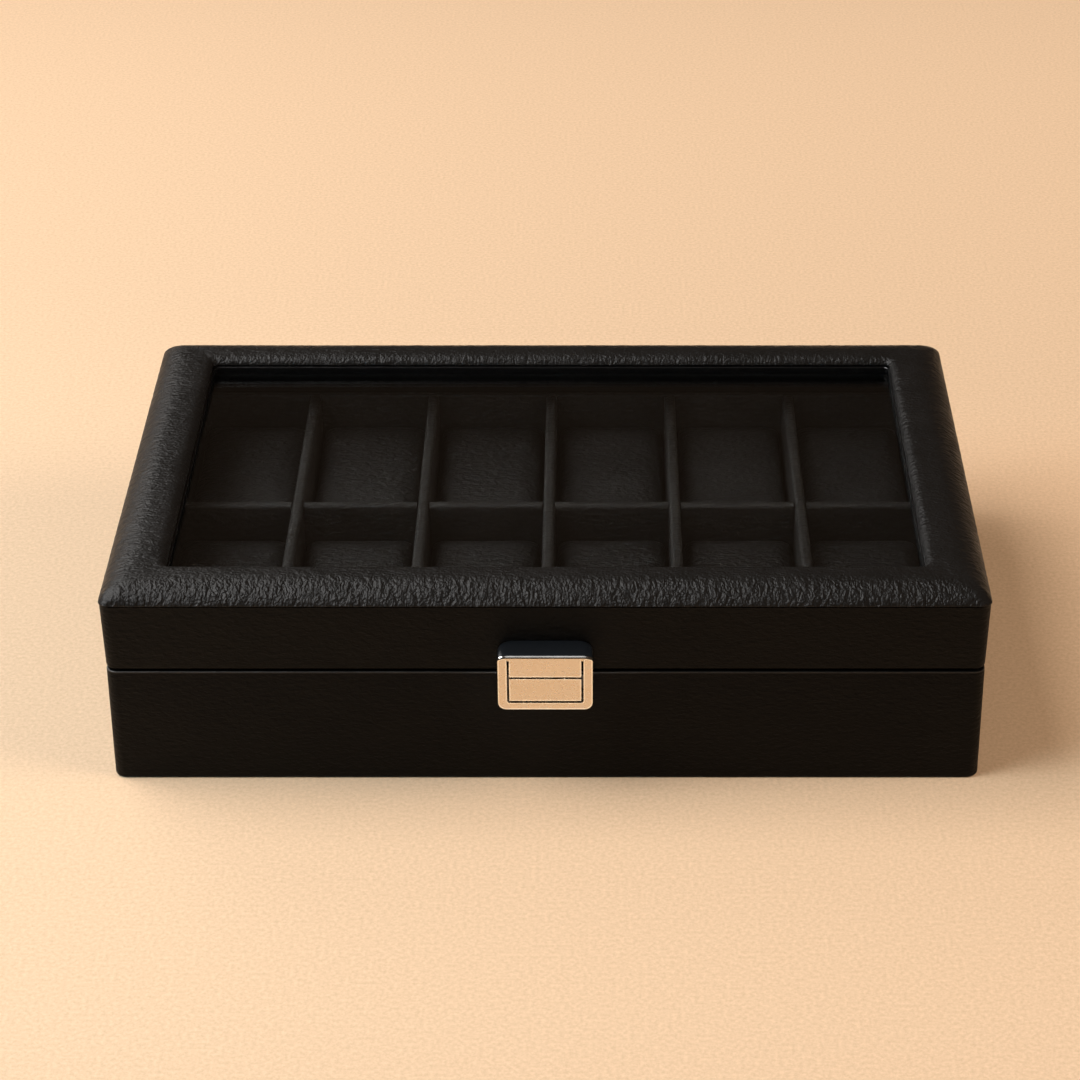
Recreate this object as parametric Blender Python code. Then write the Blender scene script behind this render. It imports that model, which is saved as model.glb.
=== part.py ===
"""Twelve-slot watch box: glazed padded lid on two rear hinges, push-button clasp at the front.

The box stands on z = 0 with its front towards -Y.  Lengths are metres.
"""
import math

import bmesh
import bpy
from mathutils import Vector

MM = 0.001

# Driving sizes: the case
BOX_WIDTH = 330.0 * MM
BOX_DEPTH = 212.6 * MM
BASE_TOP = 47.9 * MM          # rim of the base
PARTING_GAP = 1.2 * MM        # open line between base and lid
LID_WALL = 27.6 * MM          # from the parting line to the crease under the padded top
PAD_HEIGHT = 6.3 * MM         # from the crease to the crest of the padded top
LID_FLARE = 0.7 * MM          # each lid wall leans out by this at the crease
CORNER_RADIUS = 4.3 * MM      # upright corners of the case
RIM_RADIUS = 0.9 * MM         # turned leather edges at the parting line
FIT_GAP = 0.3 * MM            # clearance between glued or seated pieces

# Driving sizes: walls, lining and floor
LEATHER = 1.0 * MM
FRONT_BOARD = 6.4 * MM
SIDE_BOARD = 11.3 * MM
BOTTOM_BOARD = 3.0 * MM
FELT = 1.0 * MM
LINER = 2.8 * MM
FLOOR_LINING = 0.6 * MM
LIP_RISE = 11.9 * MM          # liner and dividers rise past the rim by this
LIP_CLEARANCE = 0.9 * MM      # lid lining to liner, so the lid swings clear
LID_LINING = 0.5 * MM

# Driving sizes: compartments
COLUMNS = 6
DIVIDER = 4.5 * MM
CUSHION_GAP = 0.8 * MM
CUSHION_DROP = 12.5 * MM      # cushions lie this far below the dividers' tops
CUSHION_CORNER = 5.0 * MM
CUSHION_EDGE = 3.0 * MM

# Driving sizes: window and padded frame
SIDE_BORDER = 22.5 * MM       # lid frame from the case's face to the window
FRONT_BORDER = 20.8 * MM
WINDOW_CORNER = 2.5 * MM
GLASS = 2.0 * MM
GLASS_HOLD = 2.9 * MM         # width of glass edge held under the trim
RETAINER = 1.2 * MM
RETAINER_WIDTH = 7.5 * MM
PAD_OVERHANG = 0.4 * MM       # padding stands proud of the crease
OUTER_ROLL_WIDTH = 10.0 * MM
OUTER_ROLL_HEIGHT = 5.3 * MM
INNER_ROLL = 3.3 * MM

# Driving sizes: clasp
CLASP_WIDTH = 35.3 * MM
CLASP_DEPTH = 10.0 * MM       # stands out from the front face
CLASP_BELOW = 10.2 * MM       # hangs below the rim of the base
CLASP_ABOVE = 13.0 * MM       # front edge of the cap, above that rim
CLASP_CORNER = 3.0 * MM
CAP_FRONT_CORNER = 1.2 * MM
CAP_REAR_CORNER = 3.5 * MM
CAP_BEVEL = 0.3 * MM
CAP_RISE = 1.2 * MM           # the cap slopes up towards the lid
CAP_THICKNESS = 0.9 * MM
RAIL = 3.65 * MM
BOTTOM_RAIL = 3.1 * MM
CLASP_SLOT = 0.55 * MM
BUTTON_HEIGHT = 9.7 * MM
BUTTON_THICKNESS = 3.0 * MM
BUTTON_TRAVEL = 1.5 * MM
SPLIT = 0.7 * MM              # between button and tongue
TONGUE_THICKNESS = 1.5 * MM
FOOT_DEPTH = 1.8 * MM
FOOT_HEIGHT = 1.2 * MM
NOSE_CLEARANCE = 0.6 * MM     # the foot rises past the latch nose
NOSE_WIDTH = 10.0 * MM
NOSE_HEIGHT = 1.5 * MM
NOSE_REACH = 0.8 * MM         # the nose stands out from its spine
NOSE_SPINE = 1.0 * MM
BACK_PLATE = 0.5 * MM
STEM_RADIUS = 1.7 * MM
SPRING_RADIUS = 2.4 * MM
SPRING_WIRE = 0.4 * MM
SPRING_TURNS = 4

# Driving sizes: hinges and screws
HINGE_LENGTH = 30.0 * MM
HINGE_SPACING = 200.0 * MM
BARREL_RADIUS = 1.9 * MM
PIN_RADIUS = 0.8 * MM
PIN_CLEARANCE = 0.25 * MM
PIN_END = 0.5 * MM            # domed end of the pin past the knuckles
LEAF = 0.75 * MM
TAB_INSET = 0.2 * MM          # each leaf tab is this much narrower than its knuckle
TAB_REACH = 0.75 * MM         # the tab ends this far from the axis, inside the knuckle
LEAF_HEIGHT = 11.0 * MM
SCREW_RADIUS = 0.7 * MM
SCREW_HEAD_RADIUS = 1.5 * MM
SCREW_LENGTH = 6.0 * MM
SCREW_CLEARANCE = 0.3 * MM
RIVET_HEAD = 0.7 * MM         # the rivet's end stands in front of the plate it holds

CORNER_STEPS = 5
ROUND_SIDES = 16

# Places worked out from the driving sizes, in the case's own centre
HALF_X = BOX_WIDTH / 2
HALF_Y = BOX_DEPTH / 2
LID_BOTTOM = BASE_TOP + PARTING_GAP
LID_WALL_TOP = LID_BOTTOM + LID_WALL
PAD_TOP = LID_WALL_TOP + PAD_HEIGHT
LIP_TOP = BASE_TOP + LIP_RISE
CUSHION_TOP = LIP_TOP - CUSHION_DROP
WINDOW_X = HALF_X - SIDE_BORDER
WINDOW_Y = HALF_Y - FRONT_BORDER
INNER_X = HALF_X - LEATHER - 2 * FIT_GAP - SIDE_BOARD - LINER
INNER_Y = HALF_Y - LEATHER - 2 * FIT_GAP - FRONT_BOARD - LINER
LIP_X = INNER_X + LINER
LIP_Y = INNER_Y + LINER
LINING_X = LIP_X + LIP_CLEARANCE
LINING_Y = LIP_Y + LIP_CLEARANCE
FLOOR = FELT + FIT_GAP + BOTTOM_BOARD
FLOOR_TOP = FLOOR + FIT_GAP + FLOOR_LINING
PITCH = (2 * INNER_X + DIVIDER) / COLUMNS
GLASS_TOP = LID_WALL_TOP - FIT_GAP
GLASS_BOTTOM = GLASS_TOP - GLASS
HINGE_Y = HALF_Y + FIT_GAP + BARREL_RADIUS
HINGE_Z = BASE_TOP + PARTING_GAP / 2
REAR_PROUD = HINGE_Y + BARREL_RADIUS - HALF_Y
CENTRE_Y = (CLASP_DEPTH - REAR_PROUD) / 2
CLASP_FRONT = -HALF_Y - CLASP_DEPTH
CLASP_HALF = CLASP_WIDTH / 2
CLASP_BOTTOM = BASE_TOP - CLASP_BELOW
CLASP_TOP = BASE_TOP + CLASP_ABOVE
PANEL_HALF = CLASP_HALF - RAIL - CLASP_SLOT
HOUSING_REAR = -HALF_Y - BACK_PLATE - 2 * FIT_GAP - LID_FLARE / 2
CAP_BOTTOM = CLASP_TOP - CAP_THICKNESS
BUTTON_BOTTOM = CLASP_BOTTOM + BOTTOM_RAIL + CLASP_SLOT
BUTTON_TOP = BUTTON_BOTTOM + BUTTON_HEIGHT
BUTTON_REAR = CLASP_FRONT + BUTTON_THICKNESS
STEM_Z = BUTTON_BOTTOM + 0.38 * BUTTON_HEIGHT
TONGUE_BOTTOM = BUTTON_TOP + SPLIT
FOOT_REAR = CLASP_FRONT + TONGUE_THICKNESS + FOOT_DEPTH


# Frame of the model -------------------------------------------------------------------------

def clear_scene():
    for item in list(bpy.data.objects):
        bpy.data.objects.remove(item, do_unlink=True)


def pivot(name, place, parent=None):
    """An empty that carries one moving body; it stands on that body's joint axis."""
    empty = bpy.data.objects.new(name, None)
    bpy.context.scene.collection.objects.link(empty)
    if parent is None:
        empty.location = place
    else:
        empty.parent = parent
        empty.location = Vector(place)
    return empty


def material(name, color, roughness, metallic=0.0):
    """A Principled material in one colour."""
    made = bpy.data.materials.get(name) or bpy.data.materials.new(name)
    made.use_nodes = True
    shader = made.node_tree.nodes["Principled BSDF"]
    shader.inputs["Base Color"].default_value = (*color, 1.0)
    shader.inputs["Roughness"].default_value = roughness
    shader.inputs["Metallic"].default_value = metallic
    return made


def finish(shape, name, carrier, look=None, smooth=False):
    """Turn a bmesh, drawn about the case's centre, into a named object on its carrier."""
    bmesh.ops.recalc_face_normals(shape, faces=shape.faces)
    mesh = bpy.data.meshes.new(name)
    shape.to_mesh(mesh)
    shape.free()
    item = bpy.data.objects.new(name, mesh)
    bpy.context.scene.collection.objects.link(item)
    if look is None:
        item.hide_render = True
        item.display_type = "WIRE"
    else:
        mesh.materials.append(look)
    item.parent = carrier
    if carrier.parent is not None:
        item.location = -carrier.location
    if smooth:
        mesh.shade_smooth()
        mesh.set_sharp_from_angle(angle=math.radians(35))
    return item


def combine(item, other, operation):
    """Join a guide shape to a piece, or cut it out."""
    step = item.modifiers.new(operation.lower(), "BOOLEAN")
    step.operation = operation
    step.solver = "EXACT"
    step.object = other


# Shapes -------------------------------------------------------------------------------------

def rounded_rectangle(half_x, half_y, radius):
    """Outline of a rectangle with round corners, anticlockwise, CORNER_STEPS + 1 points each."""
    radius = max(min(radius, half_x * 0.9, half_y * 0.9), 0.2 * MM)
    points = []
    for corner, (side_x, side_y) in enumerate(((1, 1), (-1, 1), (-1, -1), (1, -1))):
        for step in range(CORNER_STEPS + 1):
            angle = math.radians(90 * (corner + step / CORNER_STEPS))
            x = side_x * (half_x - radius) + radius * math.cos(angle)
            y = side_y * (half_y - radius) + radius * math.sin(angle)
            points.append((x, y))
    return points


def add_loops(shape, loops, closed):
    """Bridge loops of points, in order; cap both ends unless the last joins the first."""
    rings = [[shape.verts.new(point) for point in loop] for loop in loops]
    pairs = list(zip(rings, rings[1:]))
    if closed:
        pairs.append((rings[-1], rings[0]))
    for low, high in pairs:
        count = len(low)
        for index in range(count):
            after = (index + 1) % count
            shape.faces.new((low[index], low[after], high[after], high[index]))
    if not closed:
        shape.faces.new(rings[0])
        shape.faces.new(rings[-1])


def frame_ring(section):
    """A closed frame round the case: each step is (half_x, half_y, corner radius, z)."""
    shape = bmesh.new()
    loops = []
    for half_x, half_y, radius, z in section:
        loops.append([(x, y, z) for x, y in rounded_rectangle(half_x, half_y, radius)])
    add_loops(shape, loops, closed=True)
    return shape


def add_block(shape, x, y, z):
    """A box between (low, high) pairs."""
    low = [(x[0], y[0], z[0]), (x[1], y[0], z[0]), (x[1], y[1], z[0]), (x[0], y[1], z[0])]
    high = [(px, py, z[1]) for px, py, _ in low]
    add_loops(shape, [low, high], closed=False)


def block(x, y, z):
    shape = bmesh.new()
    add_block(shape, x, y, z)
    return shape


def prism(outline, axis, start, end):
    """A flat outline drawn out along one axis ("X", "Y" or "Z")."""
    def place(a, b, along):
        return {"X": (along, a, b), "Y": (a, along, b), "Z": (a, b, along)}[axis]
    shape = bmesh.new()
    loops = [[place(a, b, along) for a, b in outline] for along in (start, end)]
    add_loops(shape, loops, closed=False)
    return shape


def add_turned(shape, profile, axis, centre, sides=ROUND_SIDES):
    """Turn (radius, along) points about an axis through centre, capped at both ends."""
    loops = []
    for radius, along in profile:
        loop = []
        for side in range(sides):
            angle = 2 * math.pi * (side + 0.5) / sides
            a = radius * math.cos(angle)
            b = radius * math.sin(angle)
            offset = (along, a, b) if axis == "X" else (a, along, b)
            loop.append(tuple(c + o for c, o in zip(centre, offset)))
        loops.append(loop)
    add_loops(shape, loops, closed=False)


def add_screw_hole(shape, x, face_y, z):
    """A countersunk hole running in from face_y towards -Y, through leaf, leather and board."""
    head = SCREW_HEAD_RADIUS + SCREW_CLEARANCE
    shank = SCREW_RADIUS + SCREW_CLEARANCE
    profile = [(head, LEAF), (head, 0.0), (shank, -LEAF), (shank, -SCREW_LENGTH)]
    add_turned(shape, profile, "Y", (x, face_y, z), sides=10)


def corner_board(along_x, low_z, high_z, thickness_x, thickness_y, outer_radius, side):
    """One of four butted wall boards; the front and rear ones carry the round corners."""
    edge_x = HALF_X - LEATHER - FIT_GAP
    edge_y = HALF_Y - LEATHER - FIT_GAP
    if along_x:
        corner = [p for p in rounded_rectangle(edge_x, edge_y, outer_radius) if p[1] > 0]
        outline = corner + [(-edge_x, edge_y - thickness_y), (edge_x, edge_y - thickness_y)]
        outline = [(x, side * y) for x, y in outline]
        return prism(outline, "Z", low_z, high_z)
    inner_y = edge_y - thickness_y - FIT_GAP
    xs = sorted((side * (edge_x - thickness_x), side * edge_x))
    return block(xs, (-inner_y, inner_y), (low_z, high_z))


# Looks --------------------------------------------------------------------------------------

clear_scene()
LEATHER_BLACK = material("black_leather", (0.012, 0.011, 0.010), 0.45)
LINING_BLACK = material("black_lining", (0.010, 0.009, 0.008), 0.85)
FIBREBOARD = material("fibreboard", (0.35, 0.24, 0.14), 0.8)
FELT_BLACK = material("black_felt", (0.012, 0.012, 0.012), 0.95)
GOLD = material("champagne_gold", (0.72, 0.48, 0.29), 0.25, 1.0)
DARK_METAL = material("black_nickel", (0.10, 0.10, 0.105), 0.2, 1.0)
STEEL = material("steel", (0.55, 0.55, 0.56), 0.35, 1.0)
GLASS_CLEAR = material("glass", (0.8, 0.85, 0.85), 0.03)

BASE = pivot("case_centre", (0.0, CENTRE_Y, 0.0))
LID = pivot("lid_hinge_axis", (0.0, HINGE_Y, HINGE_Z), BASE)
BUTTON = pivot("button_axis", (0.0, CLASP_FRONT, STEM_Z), BASE)


# Base: boards, leather, felt and liner ------------------------------------------------------

def make_base_shell():
    low = FELT + FIT_GAP
    high = BASE_TOP - LEATHER - FIT_GAP
    radius = CORNER_RADIUS - LEATHER - FIT_GAP
    for name, along_x, side in (("base_front_board", True, -1), ("base_rear_board", True, 1),
                                ("base_left_board", False, -1), ("base_right_board", False, 1)):
        board = corner_board(along_x, low, high, SIDE_BOARD, FRONT_BOARD, radius, side)
        finish(board, name, BASE, FIBREBOARD)

    inner_x = HALF_X - LEATHER - 2 * FIT_GAP - SIDE_BOARD
    inner_y = HALF_Y - LEATHER - 2 * FIT_GAP - FRONT_BOARD
    finish(block((-inner_x, inner_x), (-inner_y, inner_y), (low, FLOOR)),
           "bottom_board", BASE, FIBREBOARD)

    felt = rounded_rectangle(HALF_X - LEATHER - FIT_GAP, HALF_Y - LEATHER - FIT_GAP,
                             CORNER_RADIUS - LEATHER - FIT_GAP)
    finish(prism(felt, "Z", 0.0, FELT), "bottom_felt", BASE, FELT_BLACK)

    flange_x = LIP_X + FIT_GAP
    flange_y = LIP_Y + FIT_GAP
    inside = (HALF_X - LEATHER, HALF_Y - LEATHER, CORNER_RADIUS - LEATHER)
    section = [(*inside, FIT_GAP), (HALF_X - 0.4 * LEATHER, HALF_Y - 0.4 * LEATHER,
                                    CORNER_RADIUS, FIT_GAP)]
    section.append((HALF_X, HALF_Y, CORNER_RADIUS, FELT))
    for step in range(4):
        turn = math.radians(90 * step / 3)
        back = RIM_RADIUS * (1 - math.cos(turn))
        rise = BASE_TOP - RIM_RADIUS * (1 - math.sin(turn))
        section.append((HALF_X - back, HALF_Y - back, CORNER_RADIUS - back, rise))
    section.append((flange_x, flange_y, 0.0, BASE_TOP))
    section.append((flange_x, flange_y, 0.0, BASE_TOP - LEATHER))
    section.append((*inside, BASE_TOP - LEATHER))
    finish(frame_ring(section), "base_leather_cover", BASE, LEATHER_BLACK, smooth=True)


def make_liner():
    low = FLOOR + FIT_GAP
    z = (low, LIP_TOP)
    for name, side in (("liner_front", -1), ("liner_rear", 1)):
        y = sorted((side * INNER_Y, side * LIP_Y))
        finish(block((-LIP_X, LIP_X), y, z), name, BASE, LINING_BLACK)
    end = INNER_Y - FIT_GAP
    for name, side in (("liner_left", -1), ("liner_right", 1)):
        x = sorted((side * INNER_X, side * LIP_X))
        finish(block(x, (-end, end), z), name, BASE, LINING_BLACK)
    edge_x = INNER_X - FIT_GAP
    edge_y = INNER_Y - FIT_GAP
    finish(block((-edge_x, edge_x), (-edge_y, edge_y), (low, low + FLOOR_LINING)),
           "floor_lining", BASE, FELT_BLACK)


def make_dividers():
    """Half-lapped strips: the long one is slotted from above, the cross ones from below."""
    low = FLOOR_TOP + FIT_GAP
    middle = (low + LIP_TOP) / 2
    half_slot = DIVIDER / 2 + FIT_GAP
    end = INNER_X - FIT_GAP
    outline = [(-end, low), (end, low), (end, LIP_TOP)]
    for place in reversed(range(1, COLUMNS)):
        x = -INNER_X - DIVIDER / 2 + place * PITCH
        outline += [(x + half_slot, LIP_TOP), (x + half_slot, middle - FIT_GAP / 2)]
        outline += [(x - half_slot, middle - FIT_GAP / 2), (x - half_slot, LIP_TOP)]
    outline.append((-end, LIP_TOP))
    finish(prism(outline, "Y", -DIVIDER / 2, DIVIDER / 2), "long_divider", BASE, LEATHER_BLACK)

    end = INNER_Y - FIT_GAP
    outline = [(-end, low), (-half_slot, low), (-half_slot, middle + FIT_GAP / 2),
               (half_slot, middle + FIT_GAP / 2), (half_slot, low), (end, low),
               (end, LIP_TOP), (-end, LIP_TOP)]
    for place in range(1, COLUMNS):
        x = -INNER_X - DIVIDER / 2 + place * PITCH
        finish(prism(outline, "X", x - DIVIDER / 2, x + DIVIDER / 2),
               f"cross_divider_{place}", BASE, LEATHER_BLACK)


def make_cushions():
    """A watch cushion for each compartment, numbered from the front left."""
    half_x = (PITCH - DIVIDER) / 2 - CUSHION_GAP
    row_depth = INNER_Y - DIVIDER / 2
    half_y = row_depth / 2 - CUSHION_GAP
    low = FLOOR_TOP + FIT_GAP
    number = 0
    for row in (-1, 1):
        for column in range(COLUMNS):
            number += 1
            centre_x = -INNER_X + (PITCH - DIVIDER) / 2 + column * PITCH
            centre_y = row * (DIVIDER / 2 + row_depth / 2)
            shape = bmesh.new()
            steps = [(CUSHION_EDGE / 2, low), (0.0, low + CUSHION_EDGE)]
            for step in range(4):
                turn = math.radians(90 * step / 3)
                steps.append((CUSHION_EDGE * (1 - math.cos(turn)),
                              CUSHION_TOP - CUSHION_EDGE * (1 - math.sin(turn))))
            loops = []
            for inset, z in steps:
                outline = rounded_rectangle(half_x - inset, half_y - inset,
                                            CUSHION_CORNER - inset / 2)
                loops.append([(centre_x + x, centre_y + y, z) for x, y in outline])
            add_loops(shape, loops, closed=False)
            finish(shape, f"watch_cushion_{number:02d}", BASE, LEATHER_BLACK, smooth=True)


# Lid: boards, leather, padded frame, glass --------------------------------------------------

def make_lid_shell():
    low = LID_BOTTOM + LEATHER + FIT_GAP
    high = LID_WALL_TOP - FIT_GAP
    thickness_x = HALF_X - LEATHER - 2 * FIT_GAP - LINING_X - LID_LINING
    thickness_y = HALF_Y - LEATHER - 2 * FIT_GAP - LINING_Y - LID_LINING
    radius = CORNER_RADIUS - LEATHER - FIT_GAP
    for name, along_x, side in (("lid_front_board", True, -1), ("lid_rear_board", True, 1),
                                ("lid_left_board", False, -1), ("lid_right_board", False, 1)):
        board = corner_board(along_x, low, high, thickness_x, thickness_y, radius, side)
        finish(board, name, LID, FIBREBOARD)

    inside = (HALF_X - LEATHER, HALF_Y - LEATHER, CORNER_RADIUS - LEATHER)
    section = []
    for step in range(4):
        turn = math.radians(90 * step / 3)
        back = RIM_RADIUS * (1 - math.sin(turn))
        rise = LID_BOTTOM + RIM_RADIUS * (1 - math.cos(turn))
        section.append((HALF_X - back, HALF_Y - back, CORNER_RADIUS - back, rise))
    section.append((HALF_X + LID_FLARE, HALF_Y + LID_FLARE, CORNER_RADIUS + LID_FLARE, high))
    section.append((*inside, high))
    section.append((*inside, LID_BOTTOM + LEATHER))
    section.append((LINING_X, LINING_Y, 0.0, LID_BOTTOM + LEATHER))
    section.append((LINING_X, LINING_Y, 0.0, LID_BOTTOM))
    finish(frame_ring(section), "lid_leather_cover", LID, LEATHER_BLACK, smooth=True)


def window_loop(grow, z):
    return (WINDOW_X + grow, WINDOW_Y + grow, WINDOW_CORNER + grow, z)


def make_window():
    panel_x = LINING_X + LID_LINING
    panel_y = LINING_Y + LID_LINING
    inner = GLASS_HOLD + FIT_GAP
    section = [(panel_x, panel_y, 0.0, GLASS_BOTTOM), (panel_x, panel_y, 0.0, GLASS_TOP),
               window_loop(inner, GLASS_TOP), window_loop(inner, GLASS_BOTTOM)]
    finish(frame_ring(section), "lid_top_panel", LID, FIBREBOARD)

    pane = rounded_rectangle(*window_loop(GLASS_HOLD, 0.0)[:3])
    finish(prism(pane, "Z", GLASS_BOTTOM, GLASS_TOP), "glass_pane", LID, GLASS_CLEAR)

    high = GLASS_BOTTOM - FIT_GAP
    low = high - RETAINER
    section = [window_loop(0.0, low), window_loop(0.0, high),
               window_loop(RETAINER_WIDTH, high), window_loop(RETAINER_WIDTH, low)]
    finish(frame_ring(section), "glass_retainer", LID, LINING_BLACK)

    lining_top = high
    under = lining_top - LID_LINING
    foot = LID_BOTTOM + LEATHER + FIT_GAP
    inner = RETAINER_WIDTH + FIT_GAP
    section = [(panel_x, panel_y, 0.0, foot), (panel_x, panel_y, 0.0, lining_top),
               window_loop(inner, lining_top), window_loop(inner, under),
               (LINING_X, LINING_Y, 0.0, under), (LINING_X, LINING_Y, 0.0, foot)]
    finish(frame_ring(section), "lid_lining", LID, LINING_BLACK)

    low = LID_WALL_TOP
    high = PAD_TOP - INNER_ROLL - FIT_GAP
    section = [window_loop(0.0, low), window_loop(0.0, high),
               window_loop(GLASS_HOLD, high), window_loop(GLASS_HOLD, low)]
    finish(frame_ring(section), "window_trim", LID, LEATHER_BLACK)


def make_padded_frame():
    """Leather over foam: a broad outer roll, a flat top and a tight roll into the window."""
    proud = LID_FLARE + PAD_OVERHANG
    section = [(HALF_X + LID_FLARE, HALF_Y + LID_FLARE, CORNER_RADIUS + LID_FLARE, LID_WALL_TOP)]
    for step in range(6):
        turn = math.radians(90 * step / 5)
        back = OUTER_ROLL_WIDTH * (1 - math.cos(turn)) - proud
        rise = PAD_TOP - OUTER_ROLL_HEIGHT * (1 - math.sin(turn))
        section.append((HALF_X - back, HALF_Y - back, CORNER_RADIUS - back / 2, rise))
    for step in range(5):
        turn = math.radians(90 * step / 4)
        grow = INNER_ROLL * (1 - math.sin(turn))
        rise = PAD_TOP - INNER_ROLL * (1 - math.cos(turn))
        section.append(window_loop(grow, rise))
    for z in (PAD_TOP - INNER_ROLL, LID_WALL_TOP):
        section.append(window_loop(GLASS_HOLD + FIT_GAP, z))
    finish(frame_ring(section), "lid_padded_frame", LID, LEATHER_BLACK, smooth=True)


# Clasp --------------------------------------------------------------------------------------

def cap_slope(y):
    """Height gained under the cap between the clasp's front and a place behind it."""
    return CAP_RISE * (y - CLASP_FRONT) / CLASP_DEPTH


def make_rivets(label, carrier, offset, start, z, through):
    """A left and a right rivet, driven from start through the named pieces."""
    holes = bmesh.new()
    for side, hand in ((-1, "left"), (1, "right")):
        place = (side * offset, start, z)
        rivet = bmesh.new()
        add_turned(rivet, [(SCREW_RADIUS, 0.0), (SCREW_RADIUS, SCREW_LENGTH)], "Y", place, 10)
        finish(rivet, f"{label}_{hand}", carrier, STEEL)
        wide = SCREW_RADIUS + SCREW_CLEARANCE
        add_turned(holes, [(wide, -SCREW_LENGTH / 4), (wide, SCREW_LENGTH + SCREW_CLEARANCE)],
                   "Y", place, 10)
    holes = finish(holes, f"{label}_holes", carrier)
    for name in through:
        combine(bpy.data.objects[name], holes, "DIFFERENCE")


def make_clasp_base():
    radius = CLASP_CORNER
    half = CLASP_HALF
    inner = CLASP_HALF - RAIL
    rail_top = CAP_BOTTOM - FIT_GAP
    arc = []
    for side, start in ((-1, 180), (1, 270)):
        for step in range(CORNER_STEPS + 1):
            angle = math.radians(start + 90 * step / CORNER_STEPS)
            arc.append((side * (half - radius) + radius * math.cos(angle),
                        CLASP_BOTTOM + radius + radius * math.sin(angle)))
    outline = [(-half, rail_top)] + arc + [(half, rail_top), (inner, rail_top),
               (inner, CLASP_BOTTOM + BOTTOM_RAIL), (-inner, CLASP_BOTTOM + BOTTOM_RAIL),
               (-inner, rail_top)]
    finish(prism(outline, "Y", CLASP_FRONT, HOUSING_REAR), "clasp_housing", BASE, GOLD)

    plate_front = -HALF_Y - FIT_GAP - BACK_PLATE
    plate_top = BASE_TOP - RIM_RADIUS
    plate = block((-half, half), (plate_front, plate_front + BACK_PLATE),
                  (CLASP_BOTTOM, plate_top))
    plate = finish(plate, "clasp_back_plate", BASE, STEEL)

    rivet_z = (CLASP_BOTTOM + BOTTOM_RAIL + plate_top) / 2
    make_rivets("clasp_rivet", BASE, 0.55 * half, plate_front - RIVET_HEAD, rivet_z,
                ("clasp_back_plate", "base_leather_cover", "base_front_board"))


def make_spring():
    """A coil spring round the button's stem, from the back plate to the button."""
    start = -HALF_Y - 2 * FIT_GAP - BACK_PLATE - SPRING_WIRE / 2
    end = BUTTON_REAR + FIT_GAP + SPRING_WIRE / 2
    per_turn = 12
    sides = 6
    count = SPRING_TURNS * per_turn
    loops = []
    for index in range(count + 1):
        share = index / count
        angle = 2 * math.pi * SPRING_TURNS * share
        centre = Vector((SPRING_RADIUS * math.cos(angle), start + (end - start) * share,
                         STEM_Z + SPRING_RADIUS * math.sin(angle)))
        outward = Vector((math.cos(angle), 0.0, math.sin(angle)))
        loop = []
        for side in range(sides):
            turn = 2 * math.pi * side / sides
            offset = outward * math.cos(turn) + Vector((0.0, 1.0, 0.0)) * math.sin(turn)
            loop.append(tuple(centre + offset * SPRING_WIRE / 2))
        loops.append(loop)
    shape = bmesh.new()
    add_loops(shape, loops, closed=False)
    finish(shape, "button_spring", BASE, STEEL, smooth=True)


def make_button():
    half = PANEL_HALF
    front = CLASP_FRONT
    body = finish(block((-half, half), (front, BUTTON_REAR), (BUTTON_BOTTOM, BUTTON_TOP)),
                  "clasp_button", BUTTON, GOLD)
    stem = bmesh.new()
    stem_end = -HALF_Y - 2 * FIT_GAP - BACK_PLATE - BUTTON_TRAVEL - FIT_GAP
    add_turned(stem, [(STEM_RADIUS, BUTTON_REAR - BUTTON_THICKNESS / 3), (STEM_RADIUS, stem_end)],
               "Y", (0.0, 0.0, STEM_Z))
    combine(body, finish(stem, "button_stem_guide", BUTTON), "UNION")

    half = NOSE_WIDTH / 2
    base_low = STEM_Z + SPRING_RADIUS + SPRING_WIRE / 2 + FIT_GAP
    tip = FOOT_REAR + NOSE_CLEARANCE
    nose_low = TONGUE_BOTTOM + FOOT_HEIGHT + FIT_GAP
    nose_high = nose_low + NOSE_HEIGHT
    spine = tip + NOSE_REACH
    back = spine + NOSE_SPINE
    outline = [(BUTTON_REAR + FIT_GAP, base_low), (back, base_low), (back, nose_high),
               (tip, nose_high), (tip, nose_low), (spine, nose_low),
               (spine, BUTTON_TOP), (BUTTON_REAR + FIT_GAP, BUTTON_TOP)]
    finish(prism(outline, "X", -half, half), "latch_nose", BUTTON, STEEL)


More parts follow.
